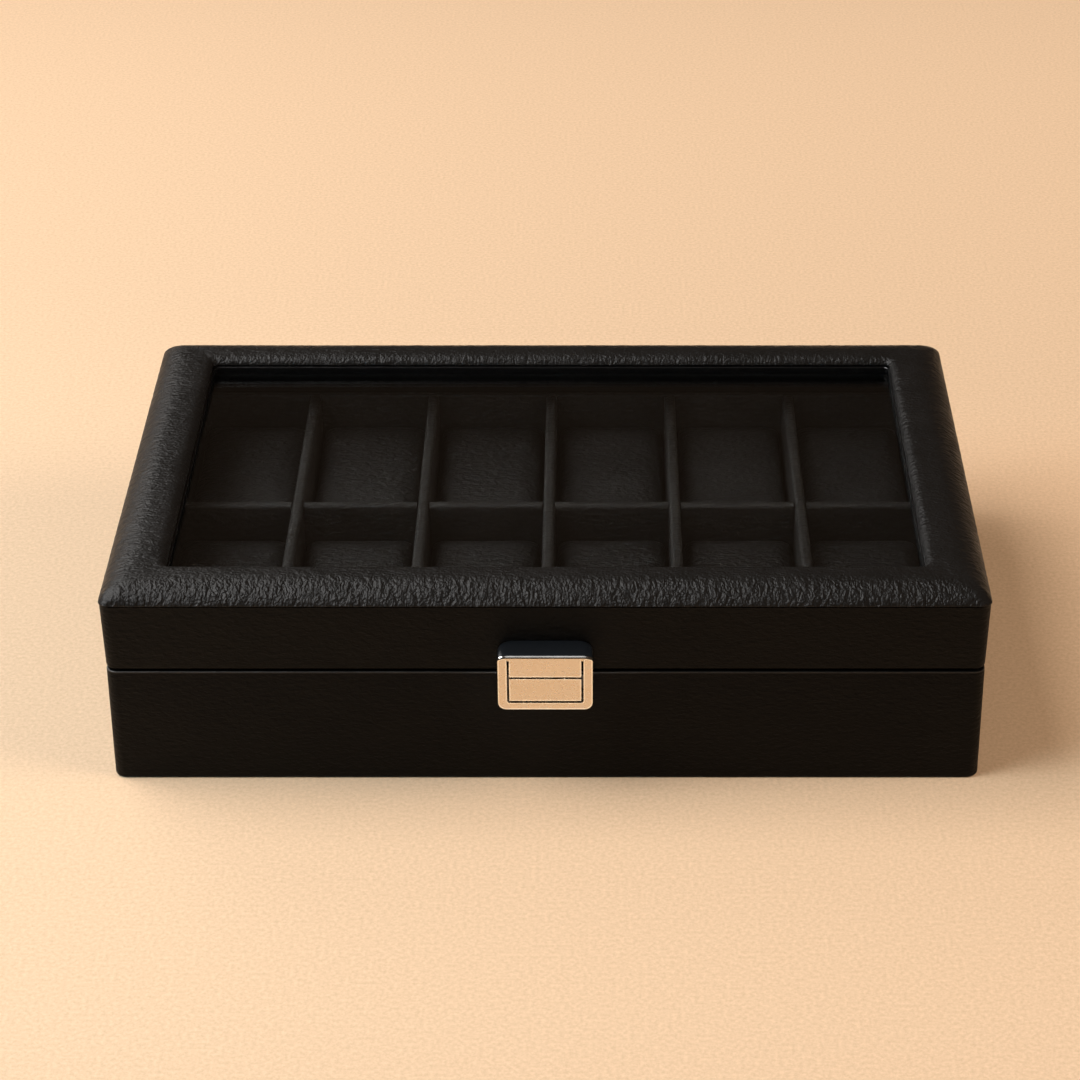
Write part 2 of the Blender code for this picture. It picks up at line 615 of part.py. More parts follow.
def make_clasp_hook():
    """The lid's half: a dark cap over the clasp with a mounting flange, and a gold tongue."""
    lean = LID_FLARE * (CLASP_TOP + CAP_RISE - LID_BOTTOM) / LID_WALL
    rear = -HALF_Y - lean - FIT_GAP
    outline = []
    half = CLASP_HALF
    depth = rear - CLASP_FRONT
    middle = (rear + CLASP_FRONT) / 2
    for corner, (side_x, side_y) in enumerate(((1, 1), (-1, 1), (-1, -1), (1, -1))):
        radius = CAP_REAR_CORNER if side_y > 0 else CAP_FRONT_CORNER
        for step in range(CORNER_STEPS + 1):
            angle = math.radians(90 * (corner + step / CORNER_STEPS))
            outline.append((side_x * (half - radius) + radius * math.cos(angle),
                            middle + side_y * (depth / 2 - radius) + radius * math.sin(angle)))
    bevel = CAP_BEVEL
    loops = [[(x, y, CAP_BOTTOM + cap_slope(y)) for x, y in outline],
             [(x, y, CLASP_TOP - bevel + cap_slope(y)) for x, y in outline]]
    shrink_x = 1 - bevel / half
    shrink_y = 1 - 2 * bevel / depth
    loops.append([(x * shrink_x, middle + (y - middle) * shrink_y,
                   CLASP_TOP + cap_slope(middle + (y - middle) * shrink_y)) for x, y in outline])
    cap = bmesh.new()
    add_loops(cap, loops, closed=False)
    cap = finish(cap, "clasp_hook", LID, DARK_METAL, smooth=True)
    flange_y = (HOUSING_REAR, rear)
    flange = block((-PANEL_HALF + FIT_GAP, PANEL_HALF - FIT_GAP), flange_y,
                   (LID_BOTTOM + RIM_RADIUS, CAP_BOTTOM + 0.5 * CAP_THICKNESS + cap_slope(rear)))
    combine(cap, finish(flange, "hook_flange_guide", LID), "UNION")

    front = CLASP_FRONT
    back = front + TONGUE_THICKNESS
    top = CAP_BOTTOM - FIT_GAP
    outline = [(front, TONGUE_BOTTOM), (FOOT_REAR, TONGUE_BOTTOM),
               (FOOT_REAR, TONGUE_BOTTOM + FOOT_HEIGHT),
               (back, TONGUE_BOTTOM + FOOT_HEIGHT), (back, top), (front, top)]
    finish(prism(outline, "X", -PANEL_HALF, PANEL_HALF), "clasp_tongue", LID, GOLD)

    rivet_z = (LID_BOTTOM + CAP_BOTTOM) / 2
    make_rivets("hook_rivet", LID, 0.6 * PANEL_HALF, HOUSING_REAR - RIVET_HEAD, rivet_z,
                ("clasp_hook", "lid_leather_cover", "lid_front_board"))


# Hinges -------------------------------------------------------------------------------------

def make_hinges():
    """Two butt hinges: end knuckles on the base leaf, the middle one on the lid leaf."""
    third = HINGE_LENGTH / 3
    leaf_rear = HINGE_Y - BARREL_RADIUS + FIT_GAP + LEAF
    leaf_front = leaf_rear - LEAF
    reach = BARREL_RADIUS + FIT_GAP
    holes = {BASE: bmesh.new(), LID: bmesh.new()}
    for label, centre in (("left", -HINGE_SPACING / 2), ("right", HINGE_SPACING / 2)):
        ends = ((centre - 1.5 * third, centre - 0.5 * third - FIT_GAP),
                (centre + 0.5 * third + FIT_GAP, centre + 1.5 * third))
        core = ((centre - 0.5 * third, centre + 0.5 * third),)
        bore = bmesh.new()
        add_turned(bore, [(PIN_RADIUS + PIN_CLEARANCE, centre - HINGE_LENGTH),
                          (PIN_RADIUS + PIN_CLEARANCE, centre + HINGE_LENGTH)],
                   "X", (0.0, HINGE_Y, HINGE_Z))
        bore = finish(bore, f"hinge_bore_{label}", BASE)
        for carrier, part, way, spans in ((BASE, "base", -1, ends), (LID, "lid", 1, core)):
            edge = HINGE_Z + way * reach
            tip = HINGE_Z + way * TAB_REACH
            far = HINGE_Z + way * (reach + LEAF_HEIGHT)
            outline = [(centre - 1.5 * third, far), (centre + 1.5 * third, far)]
            outline.append((centre + 1.5 * third, edge))
            for low, high in reversed(spans):
                outline += [(high - TAB_INSET, edge), (high - TAB_INSET, tip)]
                outline += [(low + TAB_INSET, tip), (low + TAB_INSET, edge)]
            outline.append((centre - 1.5 * third, edge))
            leaf = finish(prism(outline, "Y", leaf_front, leaf_rear),
                          f"hinge_{part}_leaf_{label}", carrier, GOLD)
            knuckles = bmesh.new()
            for low, high in spans:
                add_turned(knuckles, [(BARREL_RADIUS, low), (BARREL_RADIUS, high)],
                           "X", (0.0, HINGE_Y, HINGE_Z))
            knuckles = finish(knuckles, f"hinge_{part}_knuckles_{label}", carrier)
            combine(leaf, knuckles, "UNION")
            combine(leaf, bore, "DIFFERENCE")
            screw_z = (edge + far) / 2
            for side in (-1, 1):
                x = centre + side * 0.9 * third
                add_screw_hole(holes[carrier], x, leaf_rear, screw_z)
        pin = bmesh.new()
        length = 1.5 * third
        add_turned(pin, [(0.5 * PIN_RADIUS, centre - length - PIN_END),
                         (PIN_RADIUS, centre - length), (PIN_RADIUS, centre + length),
                         (0.5 * PIN_RADIUS, centre + length + PIN_END)],
                   "X", (0.0, HINGE_Y, HINGE_Z))
        finish(pin, f"hinge_pin_{label}", BASE, STEEL, smooth=True)
    for carrier, part in ((BASE, "base"), (LID, "lid")):
        cutter = finish(holes[carrier], f"hinge_{part}_screw_holes", carrier)
        for name in (f"hinge_{part}_leaf_left", f"hinge_{part}_leaf_right",
                     f"{part}_leather_cover", f"{part}_rear_board"):
            combine(bpy.data.objects[name], cutter, "DIFFERENCE")


make_base_shell()
make_liner()
make_dividers()
make_cushions()
make_lid_shell()
make_window()
make_padded_frame()
make_clasp_base()
make_spring()
make_button()
make_clasp_hook()
make_hinges()
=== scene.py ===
"""Watch box in black grained leatherette: padded glazed lid, twelve cushions, push-button clasp."""
import math

import bmesh
import bpy
from mathutils import Matrix, Vector, noise


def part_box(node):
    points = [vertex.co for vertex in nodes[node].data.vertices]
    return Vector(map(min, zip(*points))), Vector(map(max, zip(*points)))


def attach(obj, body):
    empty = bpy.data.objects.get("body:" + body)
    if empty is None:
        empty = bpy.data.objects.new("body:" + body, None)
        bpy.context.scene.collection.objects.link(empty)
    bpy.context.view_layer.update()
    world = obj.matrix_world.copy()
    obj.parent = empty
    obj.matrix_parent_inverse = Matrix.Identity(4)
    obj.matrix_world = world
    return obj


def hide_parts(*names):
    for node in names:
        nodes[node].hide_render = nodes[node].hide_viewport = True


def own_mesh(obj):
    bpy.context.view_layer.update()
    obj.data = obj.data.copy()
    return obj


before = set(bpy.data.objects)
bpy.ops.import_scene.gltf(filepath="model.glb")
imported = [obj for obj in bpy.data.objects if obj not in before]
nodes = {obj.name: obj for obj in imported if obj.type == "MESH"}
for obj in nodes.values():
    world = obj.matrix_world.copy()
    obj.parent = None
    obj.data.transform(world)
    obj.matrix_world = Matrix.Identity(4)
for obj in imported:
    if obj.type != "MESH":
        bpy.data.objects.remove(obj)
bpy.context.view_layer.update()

MM = 0.001


# Carcass ------------------------------------------------------------------------------------
# Nine fibreboard panels: four walls and a bottom for the base, four walls and the window panel
# for the lid.  They are sawn, glued at butt corners and wholly covered, so only their pale
# sawn fibre shows where a cover is lifted.

def linear(code):
    """An sRGB hex value as linear light, with full alpha."""
    values = [int(code[i:i + 2], 16) / 255 for i in (1, 3, 5)]
    return [v / 12.92 if v <= 0.04045 else ((v + 0.055) / 1.055) ** 2.4 for v in values] + [1.0]


def add(tree, kind, inputs=(), **settings):
    """Add one node: settings are its properties, inputs its socket values or what it reads."""
    made = tree.nodes.new(kind)
    for key, value in settings.items():
        setattr(made, key, value)
    for key, value in dict(inputs).items():
        if isinstance(value, bpy.types.NodeSocket):
            tree.links.new(value, made.inputs[key])
        else:
            made.inputs[key].default_value = value
    return made


def surface(name, **sockets):
    """A material with one Principled shader; spaces in socket names are written as underscores."""
    made = bpy.data.materials.new(name)
    made.use_nodes = True
    shader = made.node_tree.nodes["Principled BSDF"]
    for key, value in sockets.items():
        shader.inputs[key.replace("_", " ")].default_value = value
    return made, made.node_tree, shader


def speckle(tree, width, place=None, **sockets):
    """Noise in patches about width mm across, on the object's own coordinates or on place."""
    if place is None:
        place = add(tree, "ShaderNodeTexCoord").outputs["Object"]
    return add(tree, "ShaderNodeTexNoise", {"Vector": place, "Scale": 1 / (width * MM),
               **sockets}).outputs["Fac"]


def tone(tree, shader, share, dark, light):
    """Colour the shader between two hex values by share."""
    tint = add(tree, "ShaderNodeMix", {"Factor": share, "A": linear(dark), "B": linear(light)},
               data_type="RGBA")
    tree.links.new(tint.outputs["Result"], shader.inputs["Base Color"])


def relief(tree, shader, height, depth, **sockets):
    """Raise the shader's surface by height, a share of depth in mm."""
    lift = add(tree, "ShaderNodeBump", {"Height": height, "Distance": depth * MM, **sockets})
    tree.links.new(lift.outputs["Normal"], shader.inputs["Normal"])


def sawn_fibreboard():
    """Medium-density fibreboard, sawn: pale brown, dull, with pressed fibres about 2 mm long."""
    made, tree, shader = surface("sawn_fibreboard", Roughness=0.85)
    fibre = speckle(tree, 2, Detail=4.0)
    tone(tree, shader, fibre, "#8A6A48", "#A98A63")
    relief(tree, shader, fibre, 0.08)
    return made


def dress(node, look):
    """Give a CAD node that keeps its own shape a finish."""
    nodes[node].data.materials.clear()
    nodes[node].data.materials.append(look)


BOARD = sawn_fibreboard()
for half in ("base", "lid"):
    for side in ("front", "rear", "left", "right"):
        dress(f"{half}_{side}_board", BOARD)
dress("bottom_board", BOARD)
dress("lid_top_panel", BOARD)


# Leather covers of base and lid ---------------------------------------------------------------
# One strip of black leatherette round each half, a polyurethane skin embossed with a fine
# grain.  It is glued to the boards, turned over the rim and under the bottom edge, so every
# edge is a soft radius that catches a thin line of light.

def corner_loop(centre_y, half_x, half_y, radius, z, corner=8, along_x=1, along_y=1):
    """A level rectangle with round corners, anticlockwise from the right side's rear corner."""
    radius = max(radius, 0.05 * MM)
    points = []
    corners = ((1, 1, along_x), (-1, 1, along_y), (-1, -1, along_x), (1, -1, along_y))
    for quarter, (sign_x, sign_y, steps) in enumerate(corners):
        for step in range(corner + 1):
            angle = math.radians(90 * (quarter + step / corner))
            points.append(Vector((sign_x * (half_x - radius) + radius * math.cos(angle),
                                  centre_y + sign_y * (half_y - radius) + radius * math.sin(angle),
                                  z)))
        start = points[-1]
        end = {0: Vector((-half_x + radius, centre_y + half_y, z)),
               1: Vector((-half_x, centre_y - half_y + radius, z)),
               2: Vector((half_x - radius, centre_y - half_y, z)),
               3: Vector((half_x, centre_y + half_y - radius, z))}[quarter]
        points += [start.lerp(end, step / steps) for step in range(1, steps)]
    return points


def skin(loops, closed=True):
    """A mesh bridged from loop to loop, closed from the last to the first or capped."""
    shape = bmesh.new()
    rings = [[shape.verts.new(point) for point in loop] for loop in loops]
    pairs = list(zip(rings, rings[1:])) + ([(rings[-1], rings[0])] if closed else [])
    for low, high in pairs:
        for i, point in enumerate(low):
            j = (i + 1) % len(low)
            shape.faces.new((point, low[j], high[j], high[i]))
    if not closed:
        shape.faces.new(rings[0])
        shape.faces.new(rings[-1])
    bmesh.ops.recalc_face_normals(shape, faces=shape.faces)
    return shape


def bridged(section, **steps):
    """A closed skin over rings given as (half_x, half_y, corner radius, z) about the case."""
    return skin([corner_loop(centre_y, *ring, **steps) for ring in section])


def quarter(steps):
    """Shares of a quarter turn as (sine, cosine) pairs."""
    return [(math.sin(math.radians(90 * s / steps)), math.cos(math.radians(90 * s / steps)))
            for s in range(steps + 1)]


def rounded(half_x, half_y, radius, z, wide, tall, ease=1.0, steps=5):
    """Rings of a quarter round that starts on the wall, tall under z, and ends at z, wide inside
    the wall; the corners' radius shrinks by ease times the inset."""
    rings = []
    for sine, cosine in quarter(steps):
        back = wide * (1 - cosine)
        rings.append((half_x - back, half_y - back, radius - ease * back, z - tall * (1 - sine)))
    return rings


def meshed(shape, name):
    """A finished shape as a mesh."""
    mesh = bpy.data.meshes.new(name)
    shape.to_mesh(mesh)
    shape.free()
    return mesh


def put(name, data):
    """A new object, linked into the scene."""
    made = bpy.data.objects.new(name, data)
    bpy.context.scene.collection.objects.link(made)
    return made


def piece(shape, name, look, body, slot, *stands_for, smooth=math.radians(40)):
    """Make a finished shape an object that rides on a body and takes the place of CAD nodes."""
    mesh = meshed(shape, name)
    mesh.materials.append(look)
    mesh.shade_smooth()
    mesh.set_sharp_from_angle(angle=smooth)
    made = put(name, mesh)
    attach(made, body)
    if stands_for:
        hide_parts(*stands_for)
    return made


def gloss(tree, shader, share, smoothest, roughest):
    """Spread the shader's roughness over the middle of share."""
    spread = add(tree, "ShaderNodeMapRange", {"Value": share, "From Min": 0.3, "From Max": 0.7,
                 "To Min": smoothest, "To Max": roughest})
    tree.links.new(spread.outputs["Result"], shader.inputs["Roughness"])


def grained_leather(name, dark, light, rough, grain, stretch, depth, specular):
    """Embossed leatherette: grain is the pebbles' width in mm, stretch their length over width
    along X, Y and Z, depth the embossing in mm.  Pores break the pebbles, and a slow mottling
    of colour and gloss comes from handling."""
    made, tree, shader = surface(name, Specular_IOR_Level=specular)
    place = add(tree, "ShaderNodeTexCoord").outputs["Object"]
    drawn = add(tree, "ShaderNodeMapping", {"Vector": place,
                "Scale": tuple(1 / s for s in stretch)}).outputs["Vector"]
    pebble = speckle(tree, grain, drawn, Detail=3.0, Roughness=0.55, Distortion=0.6)
    crease = add(tree, "ShaderNodeTexVoronoi", {"Vector": drawn, "Scale": 0.7 / (grain * MM),
                 "Smoothness": 0.6}, feature="SMOOTH_F1").outputs["Distance"]
    height = add(tree, "ShaderNodeMath", {0: crease, 1: 0.45, 2: pebble},
                 operation="MULTIPLY_ADD").outputs[0]
    relief(tree, shader, height, depth)
    slow = speckle(tree, 18, place, Detail=2.0)
    tone(tree, shader, slow, dark, light)
    gloss(tree, shader, slow, rough - 0.05, rough + 0.05)
    return made


CASE_LEATHER = grained_leather("embossed_case_leatherette", "#080706", "#0B0A09", 0.5,
                               1.2, (2.0, 2.0, 1.0), 0.45, specular=0.10)
# The rim's turned edge: a glossier copy of the case skin whose colour is painted a shade lighter, a
# painted highlight line.
EDGE_LEATHER = grained_leather("glossy_rim_leatherette_painted_highlight", "#0E0D0C", "#141210", 0.35,
                               1.2, (2.0, 2.0, 1.0), 0.2, specular=0.8)
LEATHER = 1.0 * MM
CASE_CORNER = 4.3 * MM
BASE_EDGE = 1.2 * MM
RIM_EDGE = 0.5 * MM
LID_EDGE = 1.5 * MM
SNUG = 0.3 * MM
low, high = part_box("base_leather_cover")
centre_y = (low.y + high.y) / 2
case_x = high.x
case_y = (high.y - low.y) / 2
rim = high.z
turned_z = 0.2 * low.z
lip_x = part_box("liner_right")[1].x
lip_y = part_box("liner_rear")[1].y - centre_y
inside = (case_x - LEATHER, case_y - LEATHER, CASE_CORNER - LEATHER)


def gloss_rim_with_painted_highlight(made, from_z, to_z):
    """Give the turned edge between two heights a glossier skin, its colour painted a shade lighter
    as a highlight line.
    """
    made.data.materials.append(EDGE_LEATHER)
    for face in made.data.polygons:
        outside = max(abs(face.center.x) / case_x, abs(face.center.y - centre_y) / case_y)
        if from_z < face.center.z < to_z and outside > 0.99 and abs(face.normal.z) < 0.99:
            face.material_index = 1
    return made


def base_cover():
    turned_in = (lip_x + SNUG, lip_y + SNUG, SNUG)
    wall = (case_x, case_y, CASE_CORNER)
    section = [(*inside, SNUG)]
    section += rounded(*wall, turned_z, BASE_EDGE, -BASE_EDGE, 0.5)[::-1]
    section += rounded(*wall, rim, RIM_EDGE, RIM_EDGE)
    section += [(*turned_in, rim), (*turned_in, rim - LEATHER), (*inside, rim - LEATHER)]
    made = piece(bridged(section, corner=12), "base_leather", CASE_LEATHER, "base",
                 "case_leather", "base_leather_cover")
    return gloss_rim_with_painted_highlight(made, rim - RIM_EDGE, rim)


def lid_cover():
    low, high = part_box("lid_leather_cover")
    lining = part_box("lid_lining")[1]
    turned_in = (lining.x - 0.5 * MM, lining.y - centre_y - 0.5 * MM, SNUG)
    flare = high.x - case_x
    section = rounded(case_x, case_y, CASE_CORNER, low.z, RIM_EDGE, -LID_EDGE)[::-1]
    section += [(case_x + flare, case_y + flare, CASE_CORNER + flare, high.z),
                (*inside, high.z), (*inside, low.z + LEATHER),
                (*turned_in, low.z + LEATHER), (*turned_in, low.z)]
    return piece(bridged(section, corner=12), "lid_leather", CASE_LEATHER, "lid",
                 "case_leather", "lid_leather_cover")


base_cover()
lid_cover()


# Felt, floor lining and soft linings ------------------------------------------------------------
# Pressed black felt glued under the bottom so that the box slides without marking, the same
# felt on the compartments' floor, and a thin flocked lining inside the lid and on the strip
# that holds the glass.

def pressed_felt(name, dark, light, fibre, glow):
    """Pressed or flocked fibre: no gloss, a soft edge glow, fibres about half a mm long."""
    made, tree, shader = surface(name, Roughness=0.95, Sheen_Weight=glow, Sheen_Roughness=0.5,
                                 Specular_IOR_Level=0.1)
    nap = speckle(tree, fibre, Detail=4.0, Roughness=0.7)
    tone(tree, shader, nap, dark, light)
    relief(tree, shader, nap, 0.15)
    return made


FELT = pressed_felt("pressed_wool_felt", "#0E0E0E", "#1D1B19", 0.5, 0.2)
FLOCK = pressed_felt("flocked_lining", "#010101", "#040404", 0.4, 0.01)
dress("bottom_felt", FELT)
dress("floor_lining", FELT)
dress("lid_lining", FLOCK)
dress("glass_retainer", FLOCK)


# Liner lip ----------------------------------------------------------------------------------
# Four thin boards inside the walls, covered in the same leatherette and standing up past the
# rim as a lip that locates the lid and keeps dust out.  Mitred at the corners, round on top.

PAD_LEATHER = grained_leather("grained_lining_leatherette", "#0B0907", "#100D0B", 0.55,
                              1.3, (1.8, 1.0, 1.0), 0.55, specular=0.24)
low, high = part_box("liner_front")
inner_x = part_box("liner_right")[0].x
inner_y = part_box("liner_rear")[0].y - centre_y
LIP_EDGE = 1.2 * MM


def liner_lip():
    outer = (lip_x, lip_y, 0.8 * MM)
    inner = (inner_x, inner_y, 0.5 * MM)
    section = [(*inner, low.z), (*outer, low.z)]
    section += rounded(*outer, high.z, LIP_EDGE, LIP_EDGE, ease=0.0)
    section += rounded(*inner, high.z, -LIP_EDGE, LIP_EDGE, ease=0.0)[::-1]
    shape = bridged(section, corner=3, along_x=60, along_y=40)
    return piece(shape, "liner_lip", PAD_LEATHER, "base", "lining",
                 "liner_front", "liner_rear", "liner_left", "liner_right")


liner_lip()


# Dividers -----------------------------------------------------------------------------------
# Thin boards wrapped in the lining leatherette, half-lapped where they cross.  The wrap runs
# over the top edge, so each top is a smooth round; the cut ends butt against the liner.

def divider_section(half, low_z, high_z, edge):
    """Outline of one wrapped board seen from its end: square foot, round top."""
    outline = [(-half, low_z), (half, low_z)]
    outline += [(half - edge * (1 - c), high_z - edge * (1 - s)) for s, c in quarter(5)]
    outline += [(-half + edge * (1 - s), high_z - edge * (1 - c)) for s, c in quarter(5)]
    return outline


def board_stretch(length_axis, start, end, foot, top):
    """A capped stretch of wrapped board along X or Y, ringed about every 4 mm."""
    count = max(1, round((end - start) / (4 * MM)))
    outline = divider_section(board_half, foot, top, WRAP_EDGE)
    rings = []
    for step in range(count + 1):
        along = start + (end - start) * step / count
        rings.append([(along, across, z) if length_axis == "X" else (across, along, z)
                      for across, z in outline])
    return skin(rings, closed=False)


def joined(parts, along_y=0.0):
    """One shape from several, moved along Y."""
    shape = bmesh.new()
    for part in parts:
        made = {v: shape.verts.new((v.co.x, v.co.y + along_y, v.co.z)) for v in part.verts}
        for face in part.faces:
            shape.faces.new([made[v] for v in face.verts])
        part.free()
    return shape


def node_group(name, **inputs):
    """An empty node tree and its inputs, given as name and kind of socket; spaces in the names
    are written as underscores."""
    tree = bpy.data.node_groups.new(name, "GeometryNodeTree")
    for label, kind in inputs.items():
        tree.interface.new_socket(name=label.replace("_", " "), in_out="INPUT",
                                  socket_type="NodeSocket" + kind)
    tree.interface.new_socket(name="Geometry", in_out="OUTPUT", socket_type="NodeSocketGeometry")
    return tree, add(tree, "NodeGroupInput").outputs


def faced(tree, geometry, finish):
    """End a node tree: its copies become one mesh and get their finish."""
    solid = add(tree, "GeometryNodeRealizeInstances", {"Geometry": geometry}).outputs[0]
    dressed = add(tree, "GeometryNodeSetMaterial", {"Geometry": solid,
                  "Material": finish}).outputs[0]
    add(tree, "NodeGroupOutput", {0: dressed})
    return tree


def row_of_boards():
    """A node tree that sets copies of its input board side by side along X."""
    tree, given = node_group("row_of_boards", Geometry="Geometry", Boards="Int", Pitch="Float",
                             First="Vector", Finish="Material")
    step = add(tree, "ShaderNodeCombineXYZ", {"X": given["Pitch"]}).outputs[0]
    line = add(tree, "GeometryNodeMeshLine", {"Count": given["Boards"], "Offset": step,
               "Start Location": given["First"]}, mode="OFFSET").outputs[0]
    copies = add(tree, "GeometryNodeInstanceOnPoints", {"Points": line,
                 "Instance": given["Geometry"]}).outputs[0]
    return faced(tree, copies, given["Finish"])


def baked(made):
    """The mesh an object has with its modifiers applied."""
    graph = bpy.context.evaluated_depsgraph_get()
    return bpy.data.meshes.new_from_object(made.evaluated_get(graph))


def opened(mesh):
    """A mesh as a shape that can be worked on."""
    shape = bmesh.new()
    shape.from_mesh(mesh)
    return shape


def grow(seed, name, tree, values, look, body, slot, *stands_for, smooth=math.radians(40)):
    """Run a node tree on a seed shape and keep its result as a plain piece."""
    maker = put(name + "_maker", meshed(seed, name + "_seed"))
    step = maker.modifiers.new("grow", "NODES")
    step.node_group = tree
    values = {**values, "Finish": look}
    for item in tree.interface.items_tree:
        if item.in_out == "INPUT" and item.name in values:
            step[item.identifier] = values[item.name]
    shape = opened(baked(maker))
    bpy.data.objects.remove(maker, do_unlink=True)
    return piece(shape, name, look, body, slot, *stands_for, smooth=smooth)


WRAP_EDGE = 1.6 * MM
LAP = 0.15 * MM
low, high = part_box("cross_divider_1")
board_half = (high.x - low.x) / 2
slot_half = board_half + SNUG
long_low, long_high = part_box("long_divider")
middle = (low.z + high.z) / 2
first_x = (low.x + high.x) / 2
pitch = (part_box("cross_divider_5")[0].x - low.x) / 4
run = (high.y - low.y) / 2
cross = joined([board_stretch("Y", -run, -slot_half, low.z, high.z),
                board_stretch("Y", -slot_half, slot_half, middle + LAP, high.z),
                board_stretch("Y", slot_half, run, low.z, high.z)])
grow(cross, "cross_dividers", row_of_boards(),
     {"Boards": 5, "Pitch": pitch, "First": (first_x, centre_y, 0.0)},
     PAD_LEATHER, "base", "divider_leather", *[f"cross_divider_{n}" for n in range(1, 6)])


def long_divider():
    """The long board is slotted from above, so it is built in the stretches between slots."""
    edges = [long_low.x]
    edges += [first_x + n * pitch + side * slot_half for n in range(5) for side in (-1, 1)]
    edges.append(long_high.x)
    tops = [long_high.z, middle - LAP] * 6
    stretches = [board_stretch("X", start, end, long_low.z, top)
                 for start, end, top in zip(edges, edges[1:], tops)]
    return piece(joined(stretches, centre_y), "long_divider_board", PAD_LEATHER, "base",
                 "divider_leather", "long_divider")


long_divider()


# Watch cushions -----------------------------------------------------------------------------
# Twelve foam blocks in a sewn leatherette sleeve, pressed into the compartments.  The foam
# swells the sleeve a little, so the faces are slightly crowned and the corners stay soft.

def inflate(shape, name, voxel, pressure, most, hold=None):
    """Blow a closed shape up as cloth for twenty steps and return the swollen mesh; no point
    moves further than most, and points that hold(place) accepts stay where they are."""
    cloth = put(name + "_cloth", meshed(shape, name + "_cloth"))
    if voxel:
        net = cloth.modifiers.new("net", "REMESH")
        net.mode = "VOXEL"
        net.voxel_size = voxel
        cloth.data = baked(cloth)
        cloth.modifiers.clear()
    rest = [v.co.copy() for v in cloth.data.vertices]
    press = cloth.modifiers.new("press", "CLOTH")
    press.settings.quality = 6
    press.settings.mass = 0.15
    press.settings.use_pressure = True
    press.settings.uniform_pressure_force = pressure
    press.settings.effector_weights.gravity = 0.0
    if hold:
        group = cloth.vertex_groups.new(name="held")
        group.add([v.index for v in cloth.data.vertices if hold(v.co)], 1.0, "REPLACE")
        press.settings.vertex_group_mass = "held"
    press.point_cache.frame_start = 1
    press.point_cache.frame_end = 20
    for step in range(1, 21):
        bpy.context.scene.frame_set(step)
    swollen = baked(cloth)
    for vertex, start in zip(swollen.vertices, rest):
        move = vertex.co - start
        if move.length > most:
            vertex.co = start + move.normalized() * most
    cloth.modifiers.clear()
    bpy.context.scene.frame_set(1)
    bpy.data.objects.remove(cloth, do_unlink=True)
    return swollen


low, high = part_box("watch_cushion_01")
size = high - low
SWELL = 0.6 * MM
CUSHION_EDGE = 1.4 * MM


def cushion_block():
    """The cut foam block, about its own middle, smaller by what the sleeve will swell."""
    half_x, half_y, half_z = [length / 2 - SWELL for length in size]
    wall = (half_x, half_y, CUSHION_EDGE + 0.5 * MM)
    section = rounded(*wall, -half_z, CUSHION_EDGE, -CUSHION_EDGE, 0.5, 4)[::-1]
    section += rounded(*wall, half_z, CUSHION_EDGE, CUSHION_EDGE, 0.5, 4)
    return skin([corner_loop(0.0, *ring, corner=4) for ring in section], closed=False)


CUSHION_LEATHER = grained_leather("grained_cushion_leatherette", "#080706", "#0C0A09", 0.5,
                                  1.3, (1.8, 1.0, 1.0), 0.70, specular=0.26)
swollen = inflate(cushion_block(), "cushion", 3.0 * MM, 4.0, SWELL)
for number in range(1, 13):
    node = f"watch_cushion_{number:02d}"
    low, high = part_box(node)
    shape = opened(swollen)
    turn = Matrix.Rotation(math.pi * (number % 2), 4, "Z")
    shape.transform(Matrix.Translation((low + high) / 2) @ turn)
    cushion = piece(shape, node + "_sleeve", CUSHION_LEATHER, "base", "cushion_leather", node,
                    smooth=math.radians(70))
    finer = cushion.modifiers.new("finer", "SUBSURF")
    finer.levels = finer.render_levels = 1


# Padded lid frame ---------------------------------------------------------------------------
# The same leatherette pulled over foam strips on the lid's frame and tucked under at the
# crease and round the window.  Pulling it over the rolls draws the grain into short creases
# across them; on the flat stretches the grain lies level from side to side.

low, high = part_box("lid_padded_frame")
trim_low, trim_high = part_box("window_trim")
HELD_EDGE = 2.9 * MM
window_x = trim_high.x - HELD_EDGE
window_y = (trim_high.y - trim_low.y) / 2 - HELD_EDGE
WINDOW_CORNER = 2.0 * MM
OUTER_ROLL = (13.0 * MM, 6.1 * MM)
INNER_ROLL = 3.4 * MM
PAD_CORNER = 4.0 * MM


def padding_section():
    """Steps across the padding as (half_x, half_y, corner radius, z), crease to window."""
    wide_x = high.x
    wide_y = case_y + (high.x - case_x)
    tuck = 0.25 * MM
    section = [(wide_x - tuck, wide_y - tuck, PAD_CORNER - tuck, low.z)]
    first = math.radians(18)
    for step in range(8):
        angle = first + (math.pi / 2 - first) * step / 7
        back = OUTER_ROLL[0] * (1 - math.cos(angle) / math.cos(first))
        fall = OUTER_ROLL[1] * (1 - math.sin(angle)) / (1 - math.sin(first))
        section.append((wide_x - back, wide_y - back, PAD_CORNER + back * 0.1, high.z - fall))
    inner_x = window_x + INNER_ROLL
    inner_y = window_y + INNER_ROLL
    for share in (0.34, 0.67):
        back = OUTER_ROLL[0]
        section.append(((wide_x - back) * (1 - share) + inner_x * share,
                        (wide_y - back) * (1 - share) + inner_y * share, PAD_CORNER, high.z))
    roll = rounded(window_x, window_y, WINDOW_CORNER, high.z, -INNER_ROLL, INNER_ROLL, ease=0.6)
    return section + roll[::-1]


